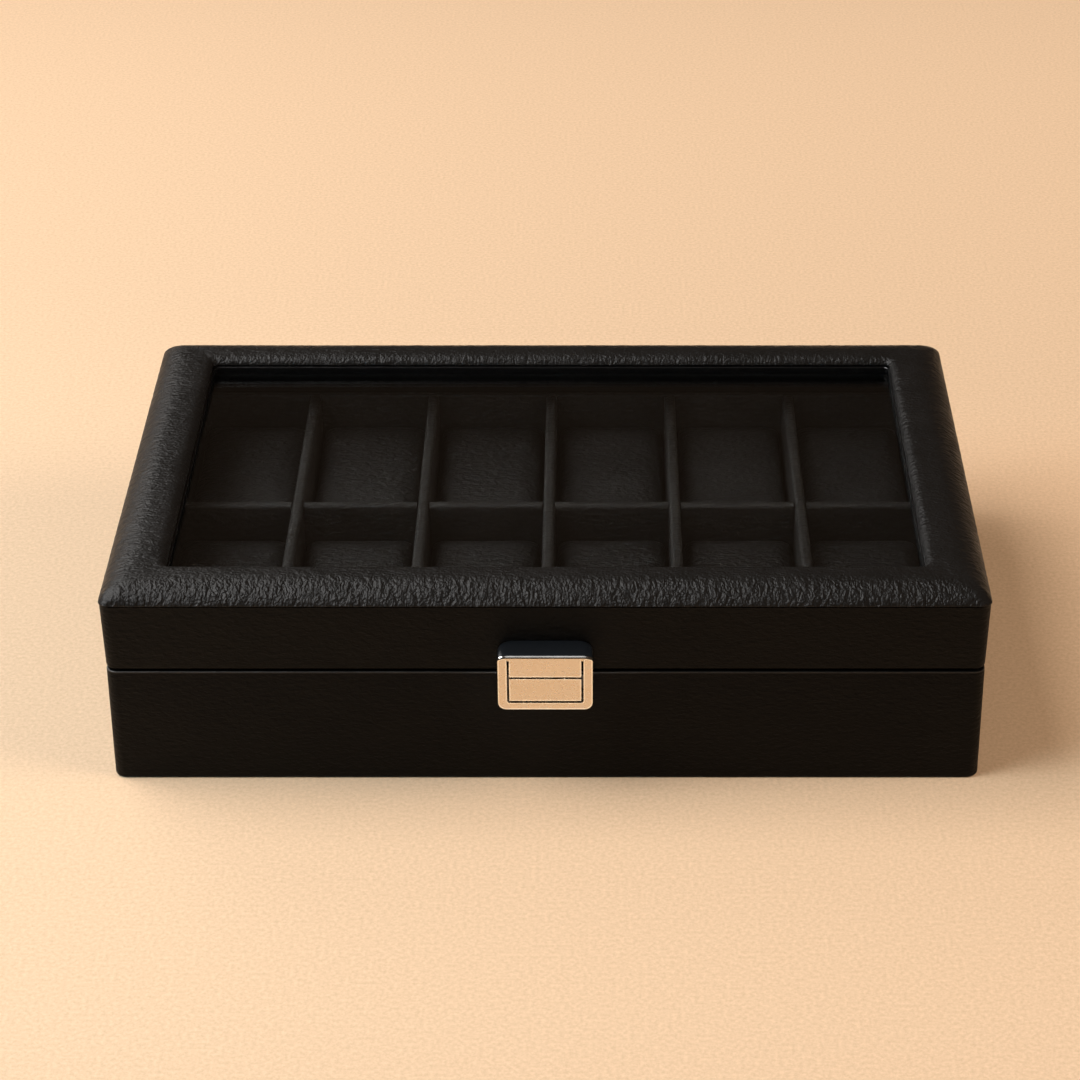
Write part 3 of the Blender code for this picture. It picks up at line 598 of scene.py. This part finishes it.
def padded_leather():
    """Pulled leatherette: the case skin with creases that run with X on the flats and across
    the front and rear rolls, where the attribute "roll" is 1."""
    made, tree, shader = surface("pulled_padding_leatherette", Specular_IOR_Level=0.26)
    place = add(tree, "ShaderNodeTexCoord").outputs["Object"]
    roll = add(tree, "ShaderNodeAttribute", attribute_name="roll").outputs["Fac"]
    creases = []
    for scale in ((0.5, 1.0, 0.5), (1.0, 0.5, 0.5)):
        drawn = add(tree, "ShaderNodeMapping", {"Vector": place, "Scale": scale}).outputs["Vector"]
        creases.append(speckle(tree, 1.8, drawn, Detail=2.0, Roughness=0.5, Distortion=0.6))
    crease = add(tree, "ShaderNodeMix", {"Factor": roll, 2: creases[0], 3: creases[1]}).outputs[0]
    pore = add(tree, "ShaderNodeTexVoronoi", {"Vector": place, "Scale": 1 / (1.0 * MM),
               "Smoothness": 0.5}, feature="SMOOTH_F1").outputs["Distance"]
    height = add(tree, "ShaderNodeMath", {0: pore, 1: 0.16, 2: crease},
                 operation="MULTIPLY_ADD").outputs[0]
    pulled = add(tree, "ShaderNodeMath", {0: roll, 1: 0.45, 2: 0.55},
                 operation="MULTIPLY_ADD").outputs[0]
    relief(tree, shader, height, 1.3, Strength=pulled)
    slow = speckle(tree, 14, place, Detail=2.0)
    tone(tree, shader, slow, "#161412", "#1C1917")
    gloss(tree, shader, slow, 0.35, 0.44)
    return made


def mark_rolls(made):
    """Store how far each point of the padding belongs to a front or rear roll."""
    values = []
    for vertex in made.data.vertices:
        x, y = abs(vertex.co.x), abs(vertex.co.y - centre_y)
        flat_in = window_y + 0.8 * INNER_ROLL
        flat_out = case_y - 0.75 * OUTER_ROLL[0]
        off = max(flat_in - y, y - flat_out) / (7 * MM)
        side = (x - window_x - (y - window_y)) / (6 * MM)
        values.append(max(0.0, min(1.0, off + 0.5)) * max(0.0, min(1.0, 0.5 - side)))
    store = made.data.attributes.new("roll", "FLOAT", "POINT")
    store.data.foreach_set("value", values)


def creased(place, roll):
    """Height of the larger creases of the pulled skin, from -1 to 1."""
    along = 1 / (2.4 * MM)
    level = noise.noise(Vector((place.x * along / 2.6, place.y * along, place.z * along / 2.6)))
    across = noise.noise(Vector((place.x * along, place.y * along / 2.6,
                                 place.z * along / 2.6 + 40)))
    return level * (1 - roll) + across * roll


CREASE_DEPTH = 0.09 * MM
section = padding_section()
section += [(window_x + 3 * MM, window_y + 3 * MM, WINDOW_CORNER, high.z - INNER_ROLL),
            (window_x + 3.2 * MM, window_y + 3.2 * MM, WINDOW_CORNER, low.z + 0.1 * MM)]


def tucked(place):
    """True at the crease, under the window roll and on the hidden underside."""
    y = abs(place.y - centre_y)
    return (place.z < low.z + 0.8 * MM or place.z < high.z - 0.97 * INNER_ROLL
            and abs(place.x) < window_x + 4 * MM and y < window_y + 4 * MM)


swollen = inflate(bridged(section, corner=5, along_x=96, along_y=60), "padding", None, 3.0,
                  0.5 * MM, hold=tucked)
padding = piece(opened(swollen), "padded_lid_frame", padded_leather(), "lid", "padded_leather",
                "lid_padded_frame", smooth=math.radians(75))
finer = padding.modifiers.new("finer", "SUBSURF")
finer.levels = finer.render_levels = 2
padding.data = baked(padding)
padding.modifiers.clear()
padding.data.name = "padded_lid_frame"
mark_rolls(padding)
rolls = [item.value for item in padding.data.attributes["roll"].data]
padding.data.update()
moves = [v.normal * CREASE_DEPTH * creased(v.co, r) for v, r in zip(padding.data.vertices, rolls)]
for vertex, move in zip(padding.data.vertices, moves):
    vertex.co += move


# Window trim and glass ----------------------------------------------------------------------
# A moulded black plastic bead lines the window under the padding and holds down a 2 mm pane
# of clear float glass.  Its rounded top edge shows as one thin line of light.

def moulded_trim(name, rough, specular):
    """Moulded black ABS with the faint ripple that a long thin moulding has."""
    made, tree, shader = surface(name, Roughness=rough, Specular_IOR_Level=specular)
    ripple = speckle(tree, 12)
    relief(tree, shader, ripple, 0.05)
    tone(tree, shader, ripple, "#020202", "#040404")
    return made


BEAD = 0.6 * MM
held = (window_x + HELD_EDGE, window_y + HELD_EDGE, WINDOW_CORNER + HELD_EDGE)
lip = (window_x - BEAD / 2, window_y - BEAD / 2, WINDOW_CORNER)
section = [(*held, trim_low.z), (*held, trim_high.z)]
section += rounded(*lip, trim_high.z, -BEAD, BEAD, steps=6)[::-1]
section += rounded(*lip, trim_high.z - 1.5 * BEAD, -BEAD / 2, -BEAD / 2, ease=0.0, steps=3)
section.append((window_x, window_y, WINDOW_CORNER, trim_low.z))
bead = piece(bridged(section), "window_bead", moulded_trim("matt_black_abs", 0.35, 0.2), "lid",
             "trim_leather", "window_trim")
bead.data.materials.append(moulded_trim("gloss_black_abs_bead", 0.22, 1.0))
for face in bead.data.polygons:
    if face.center.z > trim_high.z - 0.8 * BEAD and face.normal.z < 0.98:
        face.material_index = 1


def float_glass():
    """Clear float glass, almost neutral in colour.  Lamps pass straight through it, as they do
    through a thin flat pane."""
    made, tree, shader = surface("clear_float_glass", Roughness=0.0, IOR=1.5,
                                 Transmission_Weight=1.0)
    shader.inputs["Base Color"].default_value = linear("#FAFBFA")
    ray = add(tree, "ShaderNodeLightPath").outputs["Is Shadow Ray"]
    clear = add(tree, "ShaderNodeBsdfTransparent", {"Color": linear("#F3F4F3")}).outputs[0]
    mixed = add(tree, "ShaderNodeMixShader", {0: ray, 1: shader.outputs[0], 2: clear})
    tree.links.new(mixed.outputs[0], tree.nodes["Material Output"].inputs["Surface"])
    return made


dress("glass_pane", float_glass())


# Clasp --------------------------------------------------------------------------------------
# Die-cast zinc, plated in champagne gold: a frame riveted to the base with the push button in
# it, and the lid's hook, whose tongue drops in above the button.  The hook's cap is lacquered
# black, with a strip of near-white metal along its front edge as a painted highlight.  The gold
# front faces have a shallow leaning facet round their rims, painted a whiter gold as a highlight,
# and other edges are lightly tumbled.

def plated_metal(name, colours, rough, grain=0.02):
    """Plated metal: polishing marks and handling break its reflections a little."""
    made, tree, shader = surface(name, Metallic=1.0)
    haze = speckle(tree, 3, Detail=5.0, Roughness=0.6)
    gloss(tree, shader, haze, rough - 0.04, rough + 0.06)
    tone(tree, shader, haze, *colours)
    relief(tree, shader, haze, grain)
    return made


def prism(outline, axis, start, end):
    """A flat outline drawn out along X, Y or Z."""
    def place(a, b, along):
        return {"X": (along, a, b), "Y": (a, along, b), "Z": (a, b, along)}[axis]
    return skin([[place(a, b, along) for a, b in outline] for along in (start, end)], closed=False)


def arc(centre, radius, start, steps=6):
    """A quarter arc of points, start in degrees."""
    return [(centre[0] + radius * math.cos(math.radians(start + 90 * s / steps)),
             centre[1] + radius * math.sin(math.radians(start + 90 * s / steps)))
            for s in range(steps + 1)]


def tumbled(made, width, sharp=None):
    """Round a piece's edges as tumbling does; edges that sharp(middle) accepts stay sharp."""
    shape = opened(made.data)
    weight = shape.edges.layers.float.new("bevel_weight_edge")
    for edge in shape.edges:
        middle = (edge.verts[0].co + edge.verts[1].co) / 2
        if edge.calc_face_angle(0.0) > math.radians(35) and not (sharp and sharp(middle)):
            edge[weight] = 1.0
    shape.to_mesh(made.data)
    shape.free()
    edge = made.modifiers.new("tumbled", "BEVEL")
    edge.width = width
    edge.segments = 3
    edge.limit_method = "WEIGHT"
    edge.harden_normals = True
    return made


def leaning_facet_painted_highlight(shape, keep=None):
    """Cut a shallow facet round the front face: the face's rim leans back a little and
    takes the second material, a whiter gold that is a painted highlight round the rim.  Points
    of the rim that keep(place) accepts don't lean."""
    front = min(shape.faces, key=lambda face: (face.calc_center_median().y, -face.calc_area()))
    rim = set(front.verts)
    cut = bmesh.ops.inset_region(shape, faces=[front], thickness=FACET, use_even_offset=True)
    for vertex in rim:
        if not (keep and keep(vertex.co)):
            vertex.co.y += FACET_LEAN
    for face in cut["faces"]:
        if not (keep and keep(face.calc_center_median())):
            face.material_index = 1
    return shape


GOLD = plated_metal("satin_champagne_gold_plate", ("#E0D1BE", "#E6D8C7"), 0.26, 0.006)
# A whiter, brighter gold for the facets round the front faces: a painted highlight.
PAINTED_HIGHLIGHT_GOLD = plated_metal("gold_facet_painted_highlight", ("#FFF4E0", "#FFFAF0"), 0.40)
# A near-white metal laid only along the cap's front top edge: a painted highlight, which also
# reflects the glint lamp.
CAP_EDGE_HIGHLIGHT = plated_metal("cap_edge_painted_highlight", ("#F2F0EC", "#FAF8F5"), 0.14, 0.002)
# The cap's lacquer: near black and smooth, with a soft highlight along its slope.
BLACK_NICKEL, tree, shader = surface("black_nickel_lacquer", Roughness=0.35,
                                     Specular_IOR_Level=0.35)
tone(tree, shader, speckle(tree, 2), "#0F1113", "#141619")
ZINC = plated_metal("zinc_plated_steel", ("#9A9CA0", "#B4B6BA"), 0.35)
SEAM = 0.06 * MM
TUMBLE = 0.10 * MM
FACET = 0.50 * MM
FACET_LEAN = 0.10 * MM
SLOT = 0.80 * MM
FRAME_CORNER = 3 * MM
BUTTON_DEPTH = 3 * MM
TONGUE_DEPTH = 1.5 * MM
TONGUE_SHOULDER = 0.9 * MM
FOOT_HEIGHT = 1.2 * MM
low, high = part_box("clasp_housing")
button_low, button_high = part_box("clasp_button")
tongue_low, tongue_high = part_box("clasp_tongue")
hook_low, hook_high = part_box("clasp_hook")
clasp_half = high.x
rail_inner = button_high.x + SLOT
sill = button_low.z - SLOT
CAP = 0.9 * MM
CAP_FACET = 0.36 * MM
CAP_RISE = 1.2 * MM
CAP_SHOULDER = (3.7 * MM, 1.1 * MM)
cap_bottom = high.z + 0.3 * MM


def shoulder_drop(x):
    """How far the clasp's rounded top shoulder lies under its middle at x."""
    share = max(0.0, (abs(x) - clasp_half + CAP_SHOULDER[0]) / CAP_SHOULDER[0])
    return CAP_SHOULDER[1] * (1 - math.sqrt(max(0.0, 1 - share * share)))


def under_cap(place):
    """True close under the cap, where frame and tongue meet in a hairline."""
    return place.z > cap_bottom - 1.1 * MM and abs(place.x) < rail_inner + 0.6 * MM


def gold_casting(outline, front, back, name, body, node, keep=None):
    """A gold part of the clasp: an outline drawn out along Y, with a painted highlight of whiter
    gold on a facet round its front.
    """
    made = piece(leaning_facet_painted_highlight(prism(outline, "Y", front, back), keep), name, GOLD, body,
                 "clasp_gold", node)
    made.data.materials.append(PAINTED_HIGHLIGHT_GOLD)
    return tumbled(made, TUMBLE, keep)


def clasp_frame():
    """The frame on the base: two rails and a bottom bar; its shoulders follow the cap."""
    inner = 0.6 * MM
    outline = [(rail_inner, cap_bottom - SEAM), (rail_inner, sill + inner),
               (rail_inner - inner, sill), (-rail_inner + inner, sill),
               (-rail_inner, sill + inner), (-rail_inner, cap_bottom - SEAM)]
    slope = [clasp_half - CAP_SHOULDER[0] * (1 - math.sin(math.radians(15 * n)))
             for n in range(7)]
    shoulder = [(x, cap_bottom - SEAM - shoulder_drop(x)) for x in slope
                if x > rail_inner + 0.01 * MM]
    foot_x = clasp_half - FRAME_CORNER
    foot_z = low.z + FRAME_CORNER
    outline += [(-x, z) for x, z in shoulder]
    outline += arc((-foot_x, foot_z), FRAME_CORNER, 180)
    outline += arc((foot_x, foot_z), FRAME_CORNER, 270)
    outline += shoulder[::-1]
    return gold_casting(outline, low.y, high.y, "clasp_frame", "base", "clasp_housing", under_cap)


def clasp_button():
    """The push button: a plain block with its face flush with the frame's."""
    outline = [(button_low.x, button_low.z), (button_high.x, button_low.z),
               (button_high.x, button_high.z), (button_low.x, button_high.z)]
    return gold_casting(outline, button_low.y, button_low.y + BUTTON_DEPTH, "push_button",
                        "button", "clasp_button")


def clasp_tongue():
    """The tongue's shoulders close the side slots just under the cap, all but a hairline."""
    shoulder = rail_inner - SEAM
    step = tongue_high.z - TONGUE_SHOULDER
    top = cap_bottom - SEAM
    back = tongue_low.y + TONGUE_DEPTH
    foot_top = tongue_low.z + FOOT_HEIGHT
    outline = [(tongue_low.x, tongue_low.z), (tongue_high.x, tongue_low.z), (tongue_high.x, step),
               (shoulder, step), (shoulder, top), (-shoulder, top), (-shoulder, step),
               (tongue_low.x, step)]
    gold_casting(outline, tongue_low.y, back, "hook_tongue", "lid", "clasp_tongue", under_cap)
    foot = [(back, tongue_low.z), (tongue_high.y, tongue_low.z), (tongue_high.y, foot_top),
            (back, foot_top)]
    tail = piece(prism(foot, "X", tongue_low.x, tongue_high.x), "hook_foot", GOLD, "lid",
                 "clasp_gold")
    return tumbled(tail, 0.2 * MM)


def clasp_cap():
    """The sloping cap: a plate with drooping ends and round rear corners, and a short flange
    that lies against the lid."""
    rear = hook_high.y
    corner = 3.5 * MM
    rows = [(low.y, clasp_half, CAP - CAP_FACET), (low.y + CAP_FACET, clasp_half, CAP)]
    rows += [(rear - corner + corner * math.sin(math.radians(15 * n)),
              clasp_half - corner * (1 - math.cos(math.radians(15 * n))), CAP)
             for n in range(7)]
    across = [-1.0, -0.98, -0.94, -0.88, -0.82, -0.78, -0.4, 0.0]
    across += [-share for share in reversed(across[:-1])]
    loops = []
    for y, half, thick in rows:
        rise = CAP_RISE * (y - low.y) / (rear - low.y)
        under = [(share * half, cap_bottom - shoulder_drop(share * clasp_half) + rise)
                 for share in across]
        over = [(x, z + thick * (1.0 if abs(x) < half * 0.995 else 0.7)) for x, z in under]
        loops.append([(x, y, z) for x, z in under + over[::-1]])
    made = piece(skin(loops, closed=False), "hook_cap", BLACK_NICKEL, "lid", "hook_black_nickel",
                 "clasp_hook")
    # The faces along the cap's front top edge take the near-white metal as a painted highlight.
    made.data.materials.append(CAP_EDGE_HIGHLIGHT)
    for face in made.data.polygons:
        if face.center.y < low.y + CAP_FACET and face.normal.z > 0.3:
            face.material_index = 1
    tumbled(made, 0.25 * MM, lambda middle: middle.y < low.y + CAP_FACET + 0.1 * MM
            or middle.z < cap_bottom - 0.6 * MM)
    flange = [(-tongue_high.x, hook_low.z), (tongue_high.x, hook_low.z),
              (tongue_high.x, cap_bottom + CAP), (-tongue_high.x, cap_bottom + CAP)]
    back = piece(prism(flange, "Y", hook_high.y - 0.7 * MM, hook_high.y), "hook_flange",
                 BLACK_NICKEL, "lid", "hook_black_nickel")
    return tumbled(back, 0.15 * MM)


clasp_frame()
clasp_button()
clasp_tongue()
clasp_cap()
for node in ("clasp_back_plate", "clasp_rivet_left", "clasp_rivet_right", "hook_rivet_left",
             "hook_rivet_right", "latch_nose"):
    dress(node, ZINC)


# Button spring ------------------------------------------------------------------------------
# A small compression spring of hard-drawn steel wire, coiled round the button's stem between
# the back plate and the button.  It pushes the button out again after each press.

def coil_spring():
    """A node tree that winds a wire into a coil along Y."""
    tree, given = node_group("coil_spring", Turns="Float", Radius="Float", Length="Float",
                             Wire="Float", Place="Vector", Finish="Material")
    coil = add(tree, "GeometryNodeCurveSpiral", {"Resolution": 24, "Rotations": given["Turns"],
               "Start Radius": given["Radius"], "End Radius": given["Radius"],
               "Height": given["Length"]}).outputs[0]
    round_wire = add(tree, "GeometryNodeCurvePrimitiveCircle", {"Resolution": 10,
                     "Radius": given["Wire"]}).outputs[0]
    wound = add(tree, "GeometryNodeCurveToMesh", {"Curve": coil, "Profile Curve": round_wire,
                "Fill Caps": True}).outputs[0]
    laid = add(tree, "GeometryNodeTransform", {"Geometry": wound, "Translation": given["Place"],
               "Rotation": (math.radians(90), 0.0, 0.0)}).outputs[0]
    return faced(tree, laid, given["Finish"])


low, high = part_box("button_spring")
WIRE = 0.4 * MM
spring = grow(bmesh.new(), "coil_spring", coil_spring(),
              {"Turns": 4.0, "Radius": (high.x - low.x - WIRE) / 2,
               "Length": high.y - low.y - WIRE, "Wire": WIRE / 2,
               "Place": (0.0, high.y - WIRE / 2, (low.z + high.z) / 2)},
              ZINC, "base", "steel", "button_spring", smooth=math.radians(60))
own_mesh(spring)


# Hinges -------------------------------------------------------------------------------------
# Two pressed butt hinges in the clasp's gold plate.  Each leaf is a flat plate whose edge is
# rolled into knuckles round a steel pin; the base leaf has the two end knuckles.

def tube(centre, start, end, outer, bore, sides=36):
    """A knuckle: a short tube along X."""
    loops = []
    for radius, along in ((bore, start), (outer - 0.15 * MM, start), (outer, start + 0.15 * MM),
                          (outer, end - 0.15 * MM), (outer - 0.15 * MM, end), (bore, end)):
        loops.append([(along, centre[0] + radius * math.cos(2 * math.pi * s / sides),
                       centre[1] + radius * math.sin(2 * math.pi * s / sides))
                      for s in range(sides)])
    return skin(loops)


def hinge_leaf(label, part):
    """A leaf from its CAD node's box: plate, tabs and knuckles."""
    node = f"hinge_{part}_leaf_{label}"
    low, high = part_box(node)
    pin_low, pin_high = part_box(f"hinge_pin_{label}")
    axis = ((pin_low.y + pin_high.y) / 2, (pin_low.z + pin_high.z) / 2)
    outer = high.y - axis[0]
    reach = outer + 0.3 * MM
    third = (high.x - low.x) / 3
    gap = 0.15 * MM
    plate_y = (axis[0] - outer + 0.3 * MM, axis[0] - outer + 1.05 * MM)
    way = -1 if part == "base" else 1
    far = low.z if part == "base" else high.z
    edge = axis[1] + way * reach
    corner = 1.5 * MM
    left, right = low.x, high.x
    if part == "base":
        outline = [(left, edge)] + arc((left + corner, far + corner), corner, 180)
        outline += arc((right - corner, far + corner), corner, 270) + [(right, edge)]
        spans = ((left, left + third - gap), (right - third + gap, right))
    else:
        outline = [(right, edge)] + arc((right - corner, far - corner), corner, 0)
        outline += arc((left + corner, far - corner), corner, 90) + [(left, edge)]
        spans = ((left + third + gap, right - third - gap),)
    plate = piece(prism(outline, "Y", *plate_y), f"{part}_leaf_{label}", GOLD, part,
                  "hinge_gold", node)
    tumbled(plate, 0.12 * MM)
    for count, (start, end) in enumerate(spans):
        tab = [(start, edge), (end, edge), (end, axis[1] + way * 0.8 * MM),
               (start, axis[1] + way * 0.8 * MM)]
        piece(prism(tab, "Y", plate_y[0], plate_y[1] - 0.05 * MM), f"{part}_tab_{label}_{count}",
              GOLD, part, "hinge_gold")
        piece(tube(axis, start, end, outer, pin_high.z - axis[1] + 0.05 * MM),
              f"{part}_knuckle_{label}_{count}", GOLD, part, "hinge_gold")


for label in ("left", "right"):
    hinge_leaf(label, "base")
    hinge_leaf(label, "lid")
    dress(f"hinge_pin_{label}", ZINC)


# Hinge screws -------------------------------------------------------------------------------
# Eight small countersunk wood screws with a cross recess, gold plated like the leaves, two in
# each leaf.  They are driven through the leather into the rear boards.

def screw_rows():
    """A node tree that sets its input screw in two pairs along X."""
    tree, given = node_group("screw_rows", Geometry="Geometry", Hinge_Spacing="Float",
                             Screw_Spacing="Float", Middle="Vector", Finish="Material")
    pair = []
    for label in ("Hinge Spacing", "Screw Spacing"):
        back = add(tree, "ShaderNodeMath", {0: given[label], 1: -0.5}, operation="MULTIPLY")
        start = add(tree, "ShaderNodeCombineXYZ", {"X": back.outputs[0]}).outputs[0]
        step = add(tree, "ShaderNodeCombineXYZ", {"X": given[label]}).outputs[0]
        pair.append(add(tree, "GeometryNodeMeshLine", {"Count": 2, "Start Location": start,
                        "Offset": step}, mode="OFFSET").outputs[0])
    screws = add(tree, "GeometryNodeInstanceOnPoints", {"Points": pair[1],
                 "Instance": given["Geometry"]}).outputs[0]
    rows = add(tree, "GeometryNodeInstanceOnPoints", {"Points": pair[0],
               "Instance": screws}).outputs[0]
    placed = add(tree, "GeometryNodeTransform", {"Geometry": rows,
                 "Translation": given["Middle"]}).outputs[0]
    return faced(tree, placed, given["Finish"])


def wood_screw():
    """One screw along Y, head at the origin: flat head with a cross recess, plain shank."""
    sides = 24
    profile = ((0.75, 0.13), (1.25, 0.06), (1.5, -0.05), (0.7, -0.8), (0.7, -5.2), (0.05, -6.0))
    shape = bmesh.new()
    rings = []
    for radius, along in profile:
        rings.append([shape.verts.new((radius * MM * math.cos(2 * math.pi * s / sides), along * MM,
                                       radius * MM * math.sin(2 * math.pi * s / sides)))
                      for s in range(sides)])
    for one, two in zip(rings, rings[1:]):
        for i in range(sides):
            j = (i + 1) % sides
            shape.faces.new((one[i], one[j], two[j], two[i]))
    shape.faces.new(rings[-1])
    centre = shape.verts.new((0.0, -0.30 * MM, 0.0))
    for i, point in enumerate(rings[0]):
        shape.faces.new((point, rings[0][(i + 1) % sides], centre))
    for i, point in enumerate(rings[0]):
        in_recess = i % 6 == 0
        point.co *= 1.0 if in_recess else 0.55
        point.co.y = (0.02 if in_recess else 0.13) * MM
    bmesh.ops.recalc_face_normals(shape, faces=shape.faces)
    return shape


for part in ("base", "lid"):
    low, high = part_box(f"hinge_{part}_leaf_left")
    far_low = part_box(f"hinge_{part}_leaf_right")[0]
    pin_low, pin_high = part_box("hinge_pin_left")
    axis_z = (pin_low.z + pin_high.z) / 2
    barrel = high.y - (pin_low.y + pin_high.y) / 2
    away = barrel + 0.3 * MM
    middle_z = (axis_z - away + low.z) / 2 if part == "base" else (axis_z + away + high.z) / 2
    face_y = (pin_low.y + pin_high.y) / 2 - barrel + 1.05 * MM
    grow(wood_screw(), f"{part}_hinge_screws", screw_rows(),
         {"Hinge Spacing": far_low.x - low.x, "Screw Spacing": 0.6 * (high.x - low.x),
          "Middle": (0.0, face_y, middle_z)}, GOLD, part, "hinge_gold")


# Studio -------------------------------------------------------------------------------------
# A plain pale floor that sweeps far back.  One large soft lamp stands to the upper left, with a
# weak one behind it for the sheen on the flats and one in front for the rolls.  A warm card to
# the right softens the shadow, a cool one pales the floor at the left, one lamp lights only the
# floor behind, and two tiny ones in front bring out the clasp's cap and cut edges.

def pale_paper():
    """Matt peach background paper: a speckle of lighter and darker fibres, 1 to 2 mm across."""
    made, tree, shader = surface("peach_background_paper", Roughness=0.9, Specular_IOR_Level=0.2)
    fibre = speckle(tree, 1.6, Detail=4.0, Roughness=0.7)
    speck = add(tree, "ShaderNodeMapRange", {"Value": fibre, "From Min": 0.25, "From Max": 0.75})
    tone(tree, shader, speck.outputs["Result"], "#D9B590", "#F4D0AC")
    return made


shape = bmesh.new()
bmesh.ops.create_grid(shape, x_segments=4, y_segments=4, size=6.0)
floor = put("floor", meshed(shape, "floor"))
floor.data.materials.append(pale_paper())


def lamp(name, kind, place, aim, watts, **settings):
    """A lamp at place turned to aim; settings are the light's own properties."""
    light = bpy.data.lights.new(name, kind)
    light.energy = watts
    for key, value in settings.items():
        setattr(light, key, value)
    made = put(name, light)
    made.location = place
    made.rotation_euler = (Vector(aim) - Vector(place)).to_track_quat("-Z", "Y").to_euler()
    return made


def soft_lamp(name, place, aim, width, depth, watts, colour):
    """A flat lamp, width by depth in metres."""
    return lamp(name, "AREA", place, aim, watts, shape="RECTANGLE", size=width, size_y=depth,
                color=colour)


soft_lamp("key_softbox", (-0.88, -0.02, 1.18), (0.0, 0.0, 0.0), 1.2, 1.2, 22.3,
          (1.0, 0.98, 0.97))
soft_lamp("rear_softbox", (-0.75, 0.85, 0.75), (0.0, 0.0, 0.0), 0.6, 0.6, 3.2,
          (1.0, 0.97, 0.94))
soft_lamp("front_softbox", (-0.60, -0.48, 0.80), (0.0, -0.1, 0.0), 0.5, 0.35, 1.0,
          (0.98, 0.99, 1.0))
soft_lamp("clasp_glint", (0.0, -0.83, 1.02), (0.0, -0.11, 0.06), 0.34, 0.16, 0.12,
          (1.0, 1.0, 1.0))
card = soft_lamp("right_card", (1.20, -0.35, 0.90), (0.2, 0.0, 0.0), 0.8, 0.8, 12.5,
                 (1.0, 0.86, 0.72))
card.visible_glossy = False
card = soft_lamp("left_card", (-1.15, -0.50, 0.80), (-0.35, -0.25, 0.0), 0.8, 0.8, 8.0,
                 (0.30, 0.70, 1.0))
card.visible_glossy = False
soft_lamp("background_lamp", (0.6, 0.40, 1.2), (1.1, 2.4, 0.75), 1.4, 0.8, 12.5,
          (1.0, 0.97, 0.94))
lamp("clasp_snoot", "SPOT", (0.0, -1.30, 0.25), (0.0, -0.115, 0.048), 30.0,
     spot_size=math.radians(1.9), spot_blend=1.0, shadow_soft_size=0.03)

room = bpy.data.worlds.new("dim_room")
room.use_nodes = True
room.node_tree.nodes["Background"].inputs["Color"].default_value = linear("#FFD7B4")
room.node_tree.nodes["Background"].inputs["Strength"].default_value = 0.032
bpy.context.scene.world = room
bpy.context.scene.view_settings.view_transform = "Standard"

lens = bpy.data.cameras.new("camera")
lens.lens = 104.0
lens.sensor_width = 36.0
lens.shift_x = -0.0499
lens.clip_start = 0.01
camera = put("camera", lens)
camera.location = (0.0181, -1.0959 + centre_y, 0.6716)
camera.rotation_euler = (math.radians(90 - 29.8), 0.0, 0.0)
bpy.context.scene.camera = camera
